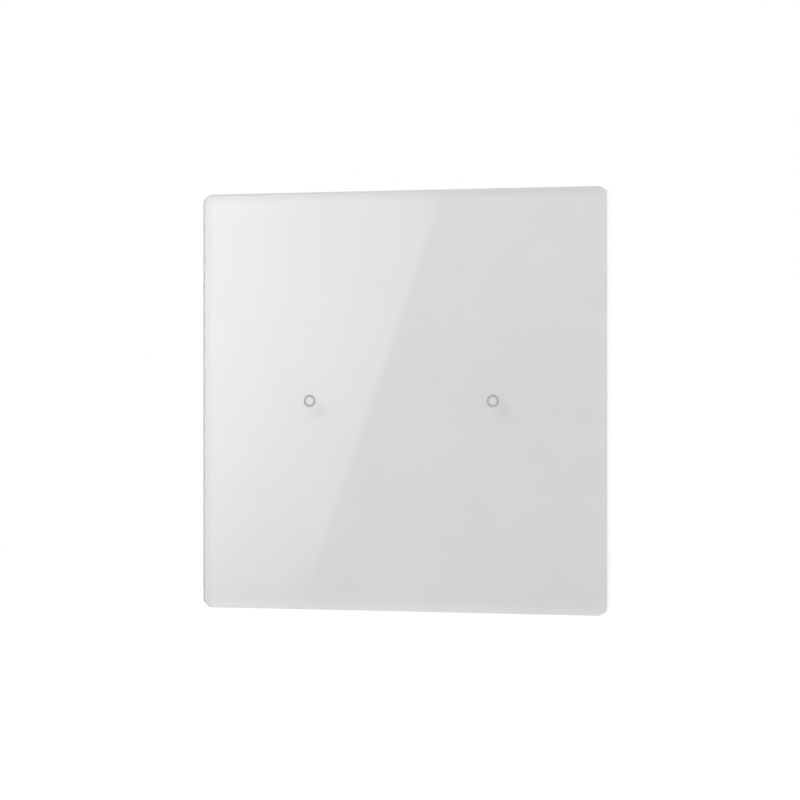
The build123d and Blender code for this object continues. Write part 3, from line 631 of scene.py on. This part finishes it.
def addPiece(name, grids, material, body, slot, *stands):
    # grids joined into one mesh, seams merged, faces turned outwards, creases kept
    starts = np.cumsum([0] + [len(points) for points, _ in grids[:-1]])
    points = np.concatenate([points for points, _ in grids])
    quads = np.concatenate([quads + start for (_, quads), start in zip(grids, starts)])
    mesh = bpy.data.meshes.new(name)
    mesh.from_pydata(points.tolist(), [], quads.tolist())
    work = bmesh.new()
    work.from_mesh(mesh)
    bmesh.ops.remove_doubles(work, verts=work.verts, dist=meshing["merge"] * mm)
    bmesh.ops.dissolve_degenerate(work, edges=work.edges, dist=meshing["collapse"] * mm)
    bmesh.ops.recalc_face_normals(work, faces=work.faces)
    work.to_mesh(mesh)
    work.free()
    mesh.shade_smooth()
    mesh.set_sharp_from_angle(angle=math.radians(meshing["crease"]))
    mesh.materials.append(material)
    piece = bpy.data.objects.new(name, mesh)
    bpy.context.collection.objects.link(piece)
    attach(piece, body)
    if stands:
        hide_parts(*stands)


def turned(profile, place, steps=48, closed=False):
    # a profile of (radius, depth) turned about a line along Y: x = r cos t, z = r sin t
    turn = np.linspace(0, 2 * math.pi, steps, endpoint=False)
    radius, depth = np.array(profile, float).T[:, :, None]
    x = place[0] + radius * np.cos(turn)
    z = place[1] + radius * np.sin(turn)
    return makeGrid(np.stack([x, np.broadcast_to(depth, x.shape), z], axis=-1), closed, True)


def carried(path, across, lift, section):
    # a closed section carried along a path: path + a across + b lift, its ends drawn in to their middle
    a, b = np.array(section, float).T[:, :, None, None]
    rows = path + a * across + b * lift
    ends = np.broadcast_to(rows.mean(axis=0), rows.shape)
    return makeGrid(np.concatenate([ends[:, :1], rows, ends[:, -1:]], axis=1), closedU=True)


def frontOf(node):
    # the depth of a node's front face, in millimetres
    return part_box(node)[0].y / mm


def backOf(node):
    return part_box(node)[1].y / mm


# White print out to the ground edge of the glass and a little round it, sunk in so that no clear band shows
sheetShape = {
    "inset": 1.15,
    "corner": 0.85,
    "inGlass": 0.03,
    "round": (1.1, 0.3),
    "rings": (0, 0.5, 0.985, 1),
    "steps": 12,
}


def roundedSquare(half, corner, steps):
    # outline points: four quarter circles of the corner radius, turned a quarter each
    turn = np.linspace(0, math.pi / 2, steps)
    quarter = np.stack([np.cos(turn), np.sin(turn)], axis=-1) * corner + (half - corner)
    spins = [np.array([[c, -s], [s, c]]) for c, s in ((1, 0), (0, 1), (-1, 0), (0, -1))]
    return np.concatenate([quarter @ spin.T for spin in spins])


def makePrint(material):
    # share * outline from the middle to the rim, then the rim moved out and forward along the ground edge,
    # and the same back again at the rear depth
    shape = sheetShape
    front, back = frontOf("printed_film") - shape["inGlass"], backOf("printed_film")
    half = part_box("glass_panel")[1].x / mm - shape["inset"]
    flat = roundedSquare(half, shape["corner"], shape["steps"])
    out, forward = shape["round"]
    bent = roundedSquare(half + out, shape["corner"] + out, shape["steps"])
    sheet = [share * flat for share in shape["rings"]]
    rows = np.array(sheet + [bent] + sheet[::-1])
    depths = np.array([front] * len(sheet) + [front - forward] + [back] * len(sheet))[:, None]
    points = np.stack([rows[..., 0], np.broadcast_to(depths, rows.shape[:2]), rows[..., 1]], axis=-1)
    grid = makeGrid(points, closedV=True)
    addPiece("whitePrint", [grid], material, "front_panel", "white_print", "printed_film")


# Two grey rings printed on the front of the glass
ringShape = {"outer": 1.3, "inner": 0.8, "inGlass": 0.03, "rim": 0.01, "steps": 72}


def makeRings(material):
    # a flat ring with a thin sloping rim, turned about the middle of each key
    front = frontOf("ring_marks")
    back = frontOf("glass_panel") + ringShape["inGlass"]
    outer, inner, rim = ringShape["outer"], ringShape["inner"], ringShape["rim"]
    profile = [(inner, back), (inner + rim, front), (outer - rim, front), (outer, back)]
    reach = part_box("ring_marks")[1].x / mm - outer
    grids = [turned(profile, (x, 0), ringShape["steps"], True) for x in (-reach, reach)]
    addPiece("greyRings", grids, material, "front_panel", "grey_print", "ring_marks")


# Sensing springs: a leg through the board, a bend, then open turns that press on the print
coilShape = {
    "keys": 19.5,
    "radius": 3.2,
    "wire": 0.2,
    "pitch": 0.92,
    "turns": 2.5,
    "start": -5.0,
    "bend": 0.7,
    "leg": -3.2,
    "steps": (8, 16, 110),  # along the leg, the bend and the turns
    "sides": 16,
}


def coilPath():
    # helix: x = r cos t, z = r sin t, y falls one pitch a turn; a cubic curve joins the straight leg to it
    shape = coilShape
    radius, lead = shape["radius"], shape["bend"] / shape["radius"]
    legSteps, bendSteps, coilSteps = shape["steps"]
    turn = np.linspace(0, 2 * math.pi * shape["turns"], coilSteps)
    rise = shape["pitch"] / (2 * math.pi)
    coil = np.stack(
        [radius * np.cos(turn + lead), shape["start"] - rise * turn, radius * np.sin(turn + lead)], axis=-1
    )
    depth = np.linspace(shape["leg"], shape["start"] + shape["bend"], legSteps)
    leg = np.stack([np.full_like(depth, radius), depth, np.zeros_like(depth)], axis=-1)
    t = np.linspace(0, 1, bendSteps)[1:-1, None]
    reach = np.linalg.norm(coil[0] - leg[-1])
    legWay = np.array([0, -1, 0]) * reach
    coilWay = np.array([-math.sin(lead), -rise / radius, math.cos(lead)]) * reach
    bend = (2 * t**3 - 3 * t**2 + 1) * leg[-1] + (t**3 - 2 * t**2 + t) * legWay
    bend += (3 * t**2 - 2 * t**3) * coil[0] + (t**3 - t**2) * coilWay
    return np.concatenate([leg, bend, coil])


def makeSprings(material):
    # a circle carried along the path, square to it; the right spring is the left one turned half round
    path = coilPath()
    way = np.gradient(path, axis=0)
    way /= np.linalg.norm(way, axis=1, keepdims=True)
    out = path * (1, 0, 1)
    out -= np.sum(out * way, axis=1, keepdims=True) * way
    out /= np.linalg.norm(out, axis=1, keepdims=True)
    side = np.cross(way, out)
    turn = np.linspace(0, 2 * math.pi, coilShape["sides"], endpoint=False)
    section = np.stack([np.cos(turn), np.sin(turn)], axis=-1) * coilShape["wire"]
    for name, hand in (("left", 1), ("right", -1)):
        spin = np.array([hand, 1, hand])
        place = np.array([-hand * coilShape["keys"], 0, 0])
        grid = carried(path * spin + place, out * spin, side * spin, section)
        addPiece(name + "SensingSpring", [grid], material, "base", "spring_steel", "touch_spring_" + name)


# Screws: pan heads with a cross recess, driven from the front, and slotted heads, driven from the rear;
# recess, width and reach are how deep, wide and long the recess is, and one longer than the head is a slot
boardScrew = {
    "places": [(0, -19.5), (0, 19.5)],
    "head": 1.9,
    "height": 0.8,
    "shank": 1.0,
    "length": 4.0,
    "pitch": 0.7,
    "crown": 0.12,
    "edge": 0.18,
    "recess": 0.45,
    "width": 0.5,
    "reach": 1.9,
}
housingScrew = {
    "places": [(-20.5, -20.5), (-20.5, 20.5), (20.5, -20.5), (20.5, 20.5)],
    "head": 2.2,
    "height": 1.5,
    "shank": 1.25,
    "length": 10.0,
    "pitch": 1.0,
    "crown": 0.16,
    "edge": 0.3,
    "recess": 0.85,
    "width": 0.6,
    "reach": 2.3,
}
terminalScrew = {
    "head": 2.4,
    "height": 1.9,
    "shank": 1.4,
    "pitch": 0.5,
    "crown": 0.0,
    "edge": 0.15,
    "recess": 0.9,
    "width": 0.8,
    "reach": 9.0,
}
threadShape = {"depth": 0.15, "slope": 0.1, "tip": 0.5, "point": 0.6, "steps": 96}
screwRows = {"dome": 20, "bend": 6, "wall": 5, "thread": 6}  # thread: rows for each turn


def screwGrid(shape, place, top, way):
    # a turned blank whose top sinks by a smooth step of the distance to the recess, and whose shank radius
    # falls by a saw wave of (depth / pitch - turn), which winds a thread
    turn = np.linspace(0, 2 * math.pi, threadShape["steps"], endpoint=False)
    head, edge, height = shape["head"], shape["edge"], shape["height"]
    end = height + shape["length"]
    dome = np.linspace(0, head - edge, screwRows["dome"])
    bend = np.linspace(0, math.pi / 2, screwRows["bend"])
    rimTop = shape["crown"] * (1 - edge / head) ** 2
    wall = np.linspace(rimTop + edge, height, screwRows["wall"] + 1)[1:]
    turns = shape["length"] / shape["pitch"]
    run = np.linspace(height, end - threadShape["point"], int(screwRows["thread"] * turns))
    rim, side = head - edge + edge * np.sin(bend), np.full(len(wall), head)
    shank = np.full(len(run), shape["shank"])
    radius = np.concatenate([dome, rim, side, shank, [threadShape["tip"], 0]])[:, None]
    crown, drop = shape["crown"] * (dome / head) ** 2, rimTop + edge * (1 - np.cos(bend))
    fall = np.concatenate([crown, drop, wall, run, [end, end]])[:, None]
    first = len(dome) + len(bend) + len(wall)
    row = np.arange(len(radius))[:, None]
    onShank = (row >= first) & (row < first + len(run))
    saw = np.abs(2 * np.mod(fall / shape["pitch"] - turn / (2 * math.pi), 1) - 1)
    radius = radius - onShank * threadShape["depth"] * saw
    u, v = np.abs(radius * np.cos(turn)), np.abs(radius * np.sin(turn))
    across = v if shape["reach"] > 2 * head else np.minimum(u, v)
    away = np.maximum(across - shape["width"] / 2, np.maximum(u, v) - shape["reach"] / 2)
    share = np.clip(-away / threadShape["slope"], 0, 1)
    fall = np.maximum(fall, shape["recess"] * share**2 * (3 - 2 * share))
    x, z = place[0] + radius * np.cos(turn), place[1] + radius * np.sin(turn)
    return makeGrid(np.stack([x, top + way * fall, z], axis=-1), closedV=True)


def middleOf(node):
    # the middle of a node across its depth, x and z in millimetres
    low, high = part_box(node)
    return (low.x + high.x) / 2 / mm, (low.z + high.z) / 2 / mm


def makeScrews(zinc, nickel):
    top = frontOf("board_screws")
    grids = [screwGrid(boardScrew, place, top, 1) for place in boardScrew["places"]]
    addPiece("boardScrewPair", grids, zinc, "base", "zinc_screw", "board_screws")
    top = frontOf("housing_screws")
    grids = [screwGrid(housingScrew, place, top, 1) for place in housingScrew["places"]]
    addPiece("housingScrewSet", grids, zinc, "base", "zinc_screw", "housing_screws")
    for pole in poles:
        node = f"terminal_screw_{pole}"
        low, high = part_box(node)
        shape = dict(terminalScrew, length=(high.y - low.y) / mm - terminalScrew["height"])
        grid = screwGrid(shape, middleOf(node), high.y / mm, -1)
        addPiece(f"slottedScrew{pole}", [grid], nickel, f"screw_{pole}", "nickel_screw", node)


# Round lips of the driver holes, which also line the holes through the rear wall
lipShape = {
    "inner": 1.98,
    "outer": 3.02,
    "solid": 0.6,  # height of the plain lips that the housing has itself
    "rise": 0.605,
    "wall": 1.75,
    "edge": 0.22,
    "steps": (5, 72),  # over an edge and round the lip
}


def makeLips(material):
    # a ring turned about each screw: inner wall, rounded top and outer wall
    shape = lipShape
    bends, steps = shape["steps"]
    top = backOf("rear_housing") + shape["rise"] - shape["solid"]
    bend = np.linspace(0, math.pi / 2, bends)
    edge = shape["edge"]
    inner = np.stack([shape["inner"] + edge - edge * np.cos(bend), top - edge + edge * np.sin(bend)], axis=-1)
    outer = np.stack([shape["outer"] - edge + edge * np.sin(bend), top - edge + edge * np.cos(bend)], axis=-1)
    floor = top - shape["solid"] - shape["wall"]
    profile = np.concatenate([[[shape["inner"], floor]], inner, outer, [[shape["outer"], floor]]])
    grids = [turned(profile, middleOf(f"terminal_screw_{pole}"), steps, True) for pole in poles]
    addPiece("driverLips", grids, material, "base", "grey_pc")


# Touch board: raised tracks under the mask, solder at the pins and spring legs, printed outlines
boardShape = {
    "leads": [(lead - 3.5) * 0.65 for lead in range(8)],
    "columns": [-12, -9, -6, -3, 3, 6, 9, 12],
    "pins": [(pin - 2.5) * 2.54 for pin in range(6)],
    "chipRows": (1.15, -5.15),
    "levels": (1.9, 2.5, 3.1, 3.7),
    "track": (0.28, 0.05),
    "bus": (0.9, 0.06),
    "cut": 0.5,
    "sink": 0.02,
    "upperParts": (4.75, 6.2),
    "lowerParts": (-8.75, -10.2),
    "pinRoute": (8.6, 11.3),
    "keyRoute": [(12, 6.2), (12, 7.5), (13, 8.5), (20.3, 8.5), (20.3, 2.0)],
    "springRoute": [(16.3, 0), (14.3, -2), (2.4, -2)],
    "busRoute": (13, -12.6),
    "guard": (5.2, 5.55, 0.056),
    "steps": 64,
}


def bentRoute(start, level, end):
    # along Z to a level, across and on, the corners cut at 45 degrees
    cut = boardShape["cut"]
    side, way = np.sign(end[0] - start[0]), np.sign(end[1] - start[1])
    return [
        start,
        (start[0], level - way * cut),
        (start[0] + side * cut, level),
        (end[0] - side * cut, level),
        (end[0], level + way * cut),
        end,
    ]


def boardStrip(points, size):
    # a flat strip along a bent line on the board, corners mitred: the mean normal over its share of the first
    width, height = size
    line = np.array(points, float)
    ways = np.diff(line, axis=0)
    ways /= np.linalg.norm(ways, axis=1, keepdims=True)
    before, after = np.vstack([ways[:1], ways]), np.vstack([ways, ways[-1:]])
    left = np.stack([-before[:, 1], before[:, 0]], axis=-1)
    mean = before + after
    mean = np.stack([-mean[:, 1], mean[:, 0]], axis=-1)
    mean /= np.sum(mean * left, axis=1, keepdims=True)
    flat = np.zeros(len(line))
    path = np.stack([line[:, 0], flat + frontOf("touch_board"), line[:, 1]], axis=-1)
    across = np.stack([mean[:, 0], flat, mean[:, 1]], axis=-1)
    half, sink = width / 2, boardShape["sink"]
    section = [(-half, -sink), (-half + height, height), (half - height, height), (half, -sink)]
    return carried(path, across, np.array([0, -1, 0]), section)


def boardRing(place, inner, outer, height):
    # a flat ring on the board, turned about its middle
    front = frontOf("touch_board")
    low, top = front + boardShape["sink"], front - height
    profile = [(inner, low), (inner + height, top), (outer - height, top), (outer, low)]
    return turned(profile, place, boardShape["steps"], True)


def makeTracks(material):
    # strips from the chip to the small parts, on to the header and the bus, and from the springs to the chip
    shape = boardShape
    track, columns = shape["track"], shape["columns"]
    upper, lower = shape["chipRows"]
    near, far = shape["upperParts"]
    below, end = shape["lowerParts"]
    reach, bus = shape["busRoute"]
    routes = []
    for lead, (x, column) in enumerate(zip(shape["leads"], columns)):
        level = shape["levels"][min(lead, len(columns) - 1 - lead)]
        routes.append(bentRoute((x, upper), level, (column, near)))
        routes.append(bentRoute((x, lower), upper + lower - level, (column, below)))
        routes.append([(column, end), (column, bus)])
    level, row = shape["pinRoute"]
    routes += [bentRoute((column, far), level, (x, row)) for x, column in zip(shape["pins"], columns[1:-1])]
    for side in (-1, 1):
        routes += [[(x * side, z) for x, z in shape[name]] for name in ("keyRoute", "springRoute")]
    grids = [boardStrip(route, track) for route in routes]
    grids += [boardRing((coilShape["keys"] * side, 0), *shape["guard"]) for side in (-1, 1)]
    grids.append(boardStrip([(-reach, bus), (reach, bus)], shape["bus"]))
    addPiece("boardTracks", grids, material, "base", "board_white")


# Solder: radius and height above the board down each cone, for a header pin and for a spring's leg
solderShape = {
    "pin": [(0, 0.05), (0.95, 0.05), (0.93, -0.06), (0.74, -0.13), (0.58, -0.27), (0.47, -0.5), (0, -0.55)],
    "leg": [(0, 0.05), (0.8, 0.05), (0.78, -0.05), (0.55, -0.12), (0.36, -0.25), (0.26, -0.45), (0, -0.48)],
    "row": 12.0,
}


def makeSolder(material):
    # hollow cones turned about each pin and leg: wide at the board and steep at the wire
    front = frontOf("touch_board")
    pin, leg = [[(radius, front + rise) for radius, rise in solderShape[kind]] for kind in ("pin", "leg")]
    grids = [turned(pin, (x, solderShape["row"])) for x in boardShape["pins"]]
    reach = coilShape["keys"] - coilShape["radius"]
    grids += [turned(leg, (x, 0)) for x in (-reach, reach)]
    addPiece("solderJoints", grids, material, "base", "small_parts")


# Printed lines: beside the chip, round the header and round the light guides, and the chip's first-lead dot
outlineShape = {
    "line": (0.18, 0.02),
    "chip": (3.0, 0.6, -4.6),
    "header": (8.4, 10.3, 13.7),
    "guide": (2.75, 2.93),
    "dot": (-3.5, 1.0),
    "dotRadius": 0.25,
}


def makeOutlines(material):
    # flat strips along each line, and flat rings turned about each guide and the dot
    shape = outlineShape
    width, height = shape["line"]
    grids = []
    for side in (-1, 1):
        grids.append(boardRing((coilShape["keys"] * side, 0), *shape["guide"], height))
        for x, start, end in (shape["chip"], shape["header"]):
            grids.append(boardStrip([(x * side, start), (x * side, end)], shape["line"]))
    reach, *rows = shape["header"]
    reach += width / 2
    grids += [boardStrip([(-reach, z), (reach, z)], shape["line"]) for z in rows]
    grids.append(boardRing(shape["dot"], 0.0, shape["dotRadius"], height))
    addPiece("printedOutlines", grids, material, "base", "board_white")


# Parts of the mains side that are turned or dipped: the varistor's disc and the capped fuse
dipShape = {"edge": 1.3, "lead": 0.35, "spacing": 5.0, "steps": (8, 56, 20)}  # steps: edge, disc, lead
capShape = {"edge": 0.6, "steps": 7}


def makeDisc(material):
    # a disc with full round edges, turned about X, on two straight leads
    low, high = [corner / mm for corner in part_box("varistor")]
    middle = (low + high) / 2
    radius, half, edge = (high.z - low.z) / 2, (high.x - low.x) / 2, dipShape["edge"]
    bends, steps, leadSteps = dipShape["steps"]
    bend = np.linspace(0, math.pi / 2, bends)
    reach = radius - edge + edge * np.sin(bend)
    level = half - edge + edge * np.cos(bend)
    profile = np.concatenate([[[0, half]], np.stack([reach, level], axis=-1)])
    profile = np.concatenate([profile, profile[::-1] * (1, -1)])
    turn = np.linspace(0, 2 * math.pi, steps, endpoint=False)
    x = np.broadcast_to(profile[:, 1:] + middle.x, (len(profile), steps))
    y = high.y - radius + profile[:, :1] * np.cos(turn)
    z = middle.z + profile[:, :1] * np.sin(turn)
    grids = [makeGrid(np.stack([x, y, z], axis=-1), closedV=True)]
    wire, end = dipShape["lead"], high.y - radius
    lead = [(0, low.y), (wire, low.y), (wire, end), (0, end)]
    for side in (-1, 1):
        grids.append(turned(lead, (middle.x, middle.z + side * dipShape["spacing"] / 2), leadSteps))
    addPiece("dippedVaristor", grids, material, "base", "varistor_blue", "varistor")


def makeCap(material):
    # a short post with a rounded top, turned about Y
    low, high = [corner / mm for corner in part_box("fuse")]
    radius, edge = (high.x - low.x) / 2, capShape["edge"]
    bend = np.linspace(0, math.pi / 2, capShape["steps"])
    rim = np.stack([radius - edge + edge * np.cos(bend), high.y - edge + edge * np.sin(bend)], axis=-1)
    profile = np.concatenate([[[0, low.y], [radius, low.y]], rim, [[0, high.y]]])
    grid = turned(profile, middleOf("fuse"))
    addPiece("fuseCap", [grid], material, "base", "fuse_brown", "fuse")


makePrint(plainSurface("ceramicPrint", printLook))
makeRings(plainSurface("greyCeramicInk", ringInk))
makeSprings(plainSurface("springWire", springLook))
makeScrews(plainSurface("zincScrew", zincScrewLook), plainSurface("nickelScrew", nickelLook))
makeLips(mouldedPolycarbonate())
print("print, rings, springs and screws made")
makeTracks(plainSurface("maskedTracks", traceLook))
makeSolder(plainSurface("tinSolder", solderLook))
makeOutlines(plainSurface("outlineInk", silkLook))
makeDisc(plainSurface("dippedEpoxy", dippedLook))
makeCap(plainSurface("phenolicCap", fuseLook))
print("board detail made")

# Studio: white surroundings, a floor well below the switch, soft lamps, and a card and boards to mirror
studio = {
    "floor": -0.25,
    "floorSize": 6.0,
    "floorColour": "#e6e6e6",
    "floorGlow": (1.12, 0.88),
    "surround": 0.34,
    "lamps": {
        "key": {"place": (-0.25, -0.38, 0.36), "size": 0.45, "power": 2.4},
        "fill": {"place": (1.1, -1.2, 0.4), "size": 0.9, "power": 3.35},
        "behind": {"place": (0.3, 1.2, 0.9), "size": 0.9, "power": 8.0},
    },
}
# The card is what the left of the glass mirrors: its slanted edge is the line across the glass
card = {
    "depth": -0.811,
    "edge": ((-0.217, 0.103), (-0.290, -0.103)),
    "width": 0.5,
    "height": 0.45,
    "light": 1.66,
    "across": -20.4,
    "up": 6.1,
    "fade": (-85.0, 0.02),
}
# Boards that the edges of the glass mirror: the dark one draws the line down the left edge, and the pale one
# makes the right wall as white as the ground behind it
boards = {
    "darkBoard": {
        "plan": ((-0.55, -0.05), (-0.55, 0.5)),
        "height": 0.25,
        "tones": (0.0, 0.15),
        "band": (-0.04, 0.08),
    },
    "paleBoard": {
        "plan": ((0.09, 0.45), (0.24, 0.45)),
        "height": 0.14,
        "tones": (1.5, 1.6),
        "band": (-0.1, 0.1),
    },
}


def seenStraight(tree):
    # 1 for camera, glossy and transmission rays, 0 for the rays that carry light to surfaces
    path = addNode(tree, "LightPath").outputs
    rays = {0: path["Is Camera Ray"], 1: path["Is Glossy Ray"]}
    seen = addNode(tree, "Math", {"operation": "MAXIMUM"}, rays)
    return addNode(tree, "Math", {"operation": "MAXIMUM"}, {0: seen, 1: path["Is Transmission Ray"]})


def makeWorld():
    world = bpy.data.worlds.new("surround")
    world.use_nodes = True
    tree = world.node_tree
    tree.nodes.clear()
    strength = addNode(tree, "MapRange", {"To Min": studio["surround"]}, {"Value": seenStraight(tree)})
    light = addNode(tree, "Background", {"Color": "#ffffff"}, {"Strength": strength})
    addNode(tree, "OutputWorld", links={0: light})
    bpy.context.scene.world = world


def addStage(name, corners, material, mirrored=False):
    # one face of the studio, or one that shows in reflections alone
    mesh = bpy.data.meshes.new(name)
    mesh.from_pydata(corners, [], [(0, 1, 2, 3)])
    mesh.materials.append(material)
    item = bpy.data.objects.new(name, mesh)
    bpy.context.collection.objects.link(item)
    if mirrored:
        item.visible_camera = item.visible_diffuse = item.visible_shadow = item.visible_transmission = False


def makeFloor():
    # matt for the light that falls on it, mostly its own white for the eye, so shadows stay faint
    material, tree, _ = startSurface("paleFloor")
    strength, share = studio["floorGlow"]
    part = addNode(tree, "Math", {"operation": "MULTIPLY", 1: share}, {0: seenStraight(tree)})
    matt = addNode(tree, "BsdfDiffuse", {"Color": studio["floorColour"]})
    glow = addNode(tree, "Emission", {"Strength": strength})
    mix = addNode(tree, "MixShader", links={0: part, 1: matt, 2: glow})
    addNode(tree, "OutputMaterial", links={"Surface": mix})
    half, z = studio["floorSize"] / 2, studio["floor"]
    addStage("floor", [(-half, -half, z), (half, -half, z), (half, half, z), (-half, half, z)], material)


def makeLamps():
    for name, lamp in studio["lamps"].items():
        data = bpy.data.lights.new(name, "AREA")
        data.size = lamp["size"]
        data.energy = lamp["power"]
        item = bpy.data.objects.new(name, data)
        item.location = lamp["place"]
        item.rotation_euler = Vector(lamp["place"]).to_track_quat("Z", "Y").to_euler()
        item.visible_glossy = False
        item.visible_camera = False
        bpy.context.collection.objects.link(item)


def makeCard():
    # light + across * (x - top of the edge) + up * z + fade * (z - middle) squared, and never under 1
    (topX, topZ), (lowX, lowZ) = card["edge"]
    slope = (topX - lowX) / (topZ - lowZ)
    high, y = card["height"], card["depth"]
    right = [topX + slope * (z - topZ) for z in (high, -high)]
    left = [x - card["width"] for x in right]
    material, tree, where = startSurface("cardLight")
    axes = addNode(tree, "SeparateXYZ", links={0: where}).outputs
    reach = addNode(tree, "Math", {"operation": "SUBTRACT", 1: topX}, {0: axes["X"]})
    slant = {"operation": "MULTIPLY_ADD", 1: card["across"], 2: card["light"]}
    across = addNode(tree, "Math", slant, {0: reach})
    level = addNode(tree, "Math", {"operation": "MULTIPLY_ADD", 1: card["up"]}, {0: axes["Z"], 2: across})
    fall, middle = card["fade"]
    rise = addNode(tree, "Math", {"operation": "SUBTRACT", 1: middle}, {0: axes["Z"]})
    square = addNode(tree, "Math", {"operation": "MULTIPLY"}, {0: rise, 1: rise})
    level = addNode(tree, "Math", {"operation": "MULTIPLY_ADD", 1: fall}, {0: square, 2: level})
    light = addNode(tree, "Math", {"operation": "MAXIMUM", 1: 1.0}, {0: level})
    glow = addNode(tree, "Emission", links={"Strength": light})
    addNode(tree, "OutputMaterial", links={"Surface": glow})
    corners = [(left[1], y, -high), (right[1], y, -high), (right[0], y, high), (left[0], y, high)]
    addStage("card", corners, material, mirrored=True)


def makeBoards():
    # each tone rises from the low to the high end of its band
    for name, board in boards.items():
        material, tree, where = startSurface(name)
        height = addNode(tree, "SeparateXYZ", links={0: where}).outputs["Z"]
        (low, high), (dark, pale) = board["band"], board["tones"]
        limits = {"From Min": low, "From Max": high, "To Min": dark, "To Max": pale}
        tone = addNode(tree, "MapRange", limits, {0: height})
        glow = addNode(tree, "Emission", links={"Strength": tone})
        addNode(tree, "OutputMaterial", links={"Surface": glow})
        near, far = board["plan"]
        z = board["height"]
        addStage(name, [(*near, -z), (*far, -z), (*far, z), (*near, z)], material, mirrored=True)


makeWorld()
makeFloor()
makeLamps()
makeCard()
makeBoards()
bpy.context.scene.view_settings.view_transform = "Standard"
print("studio lit")
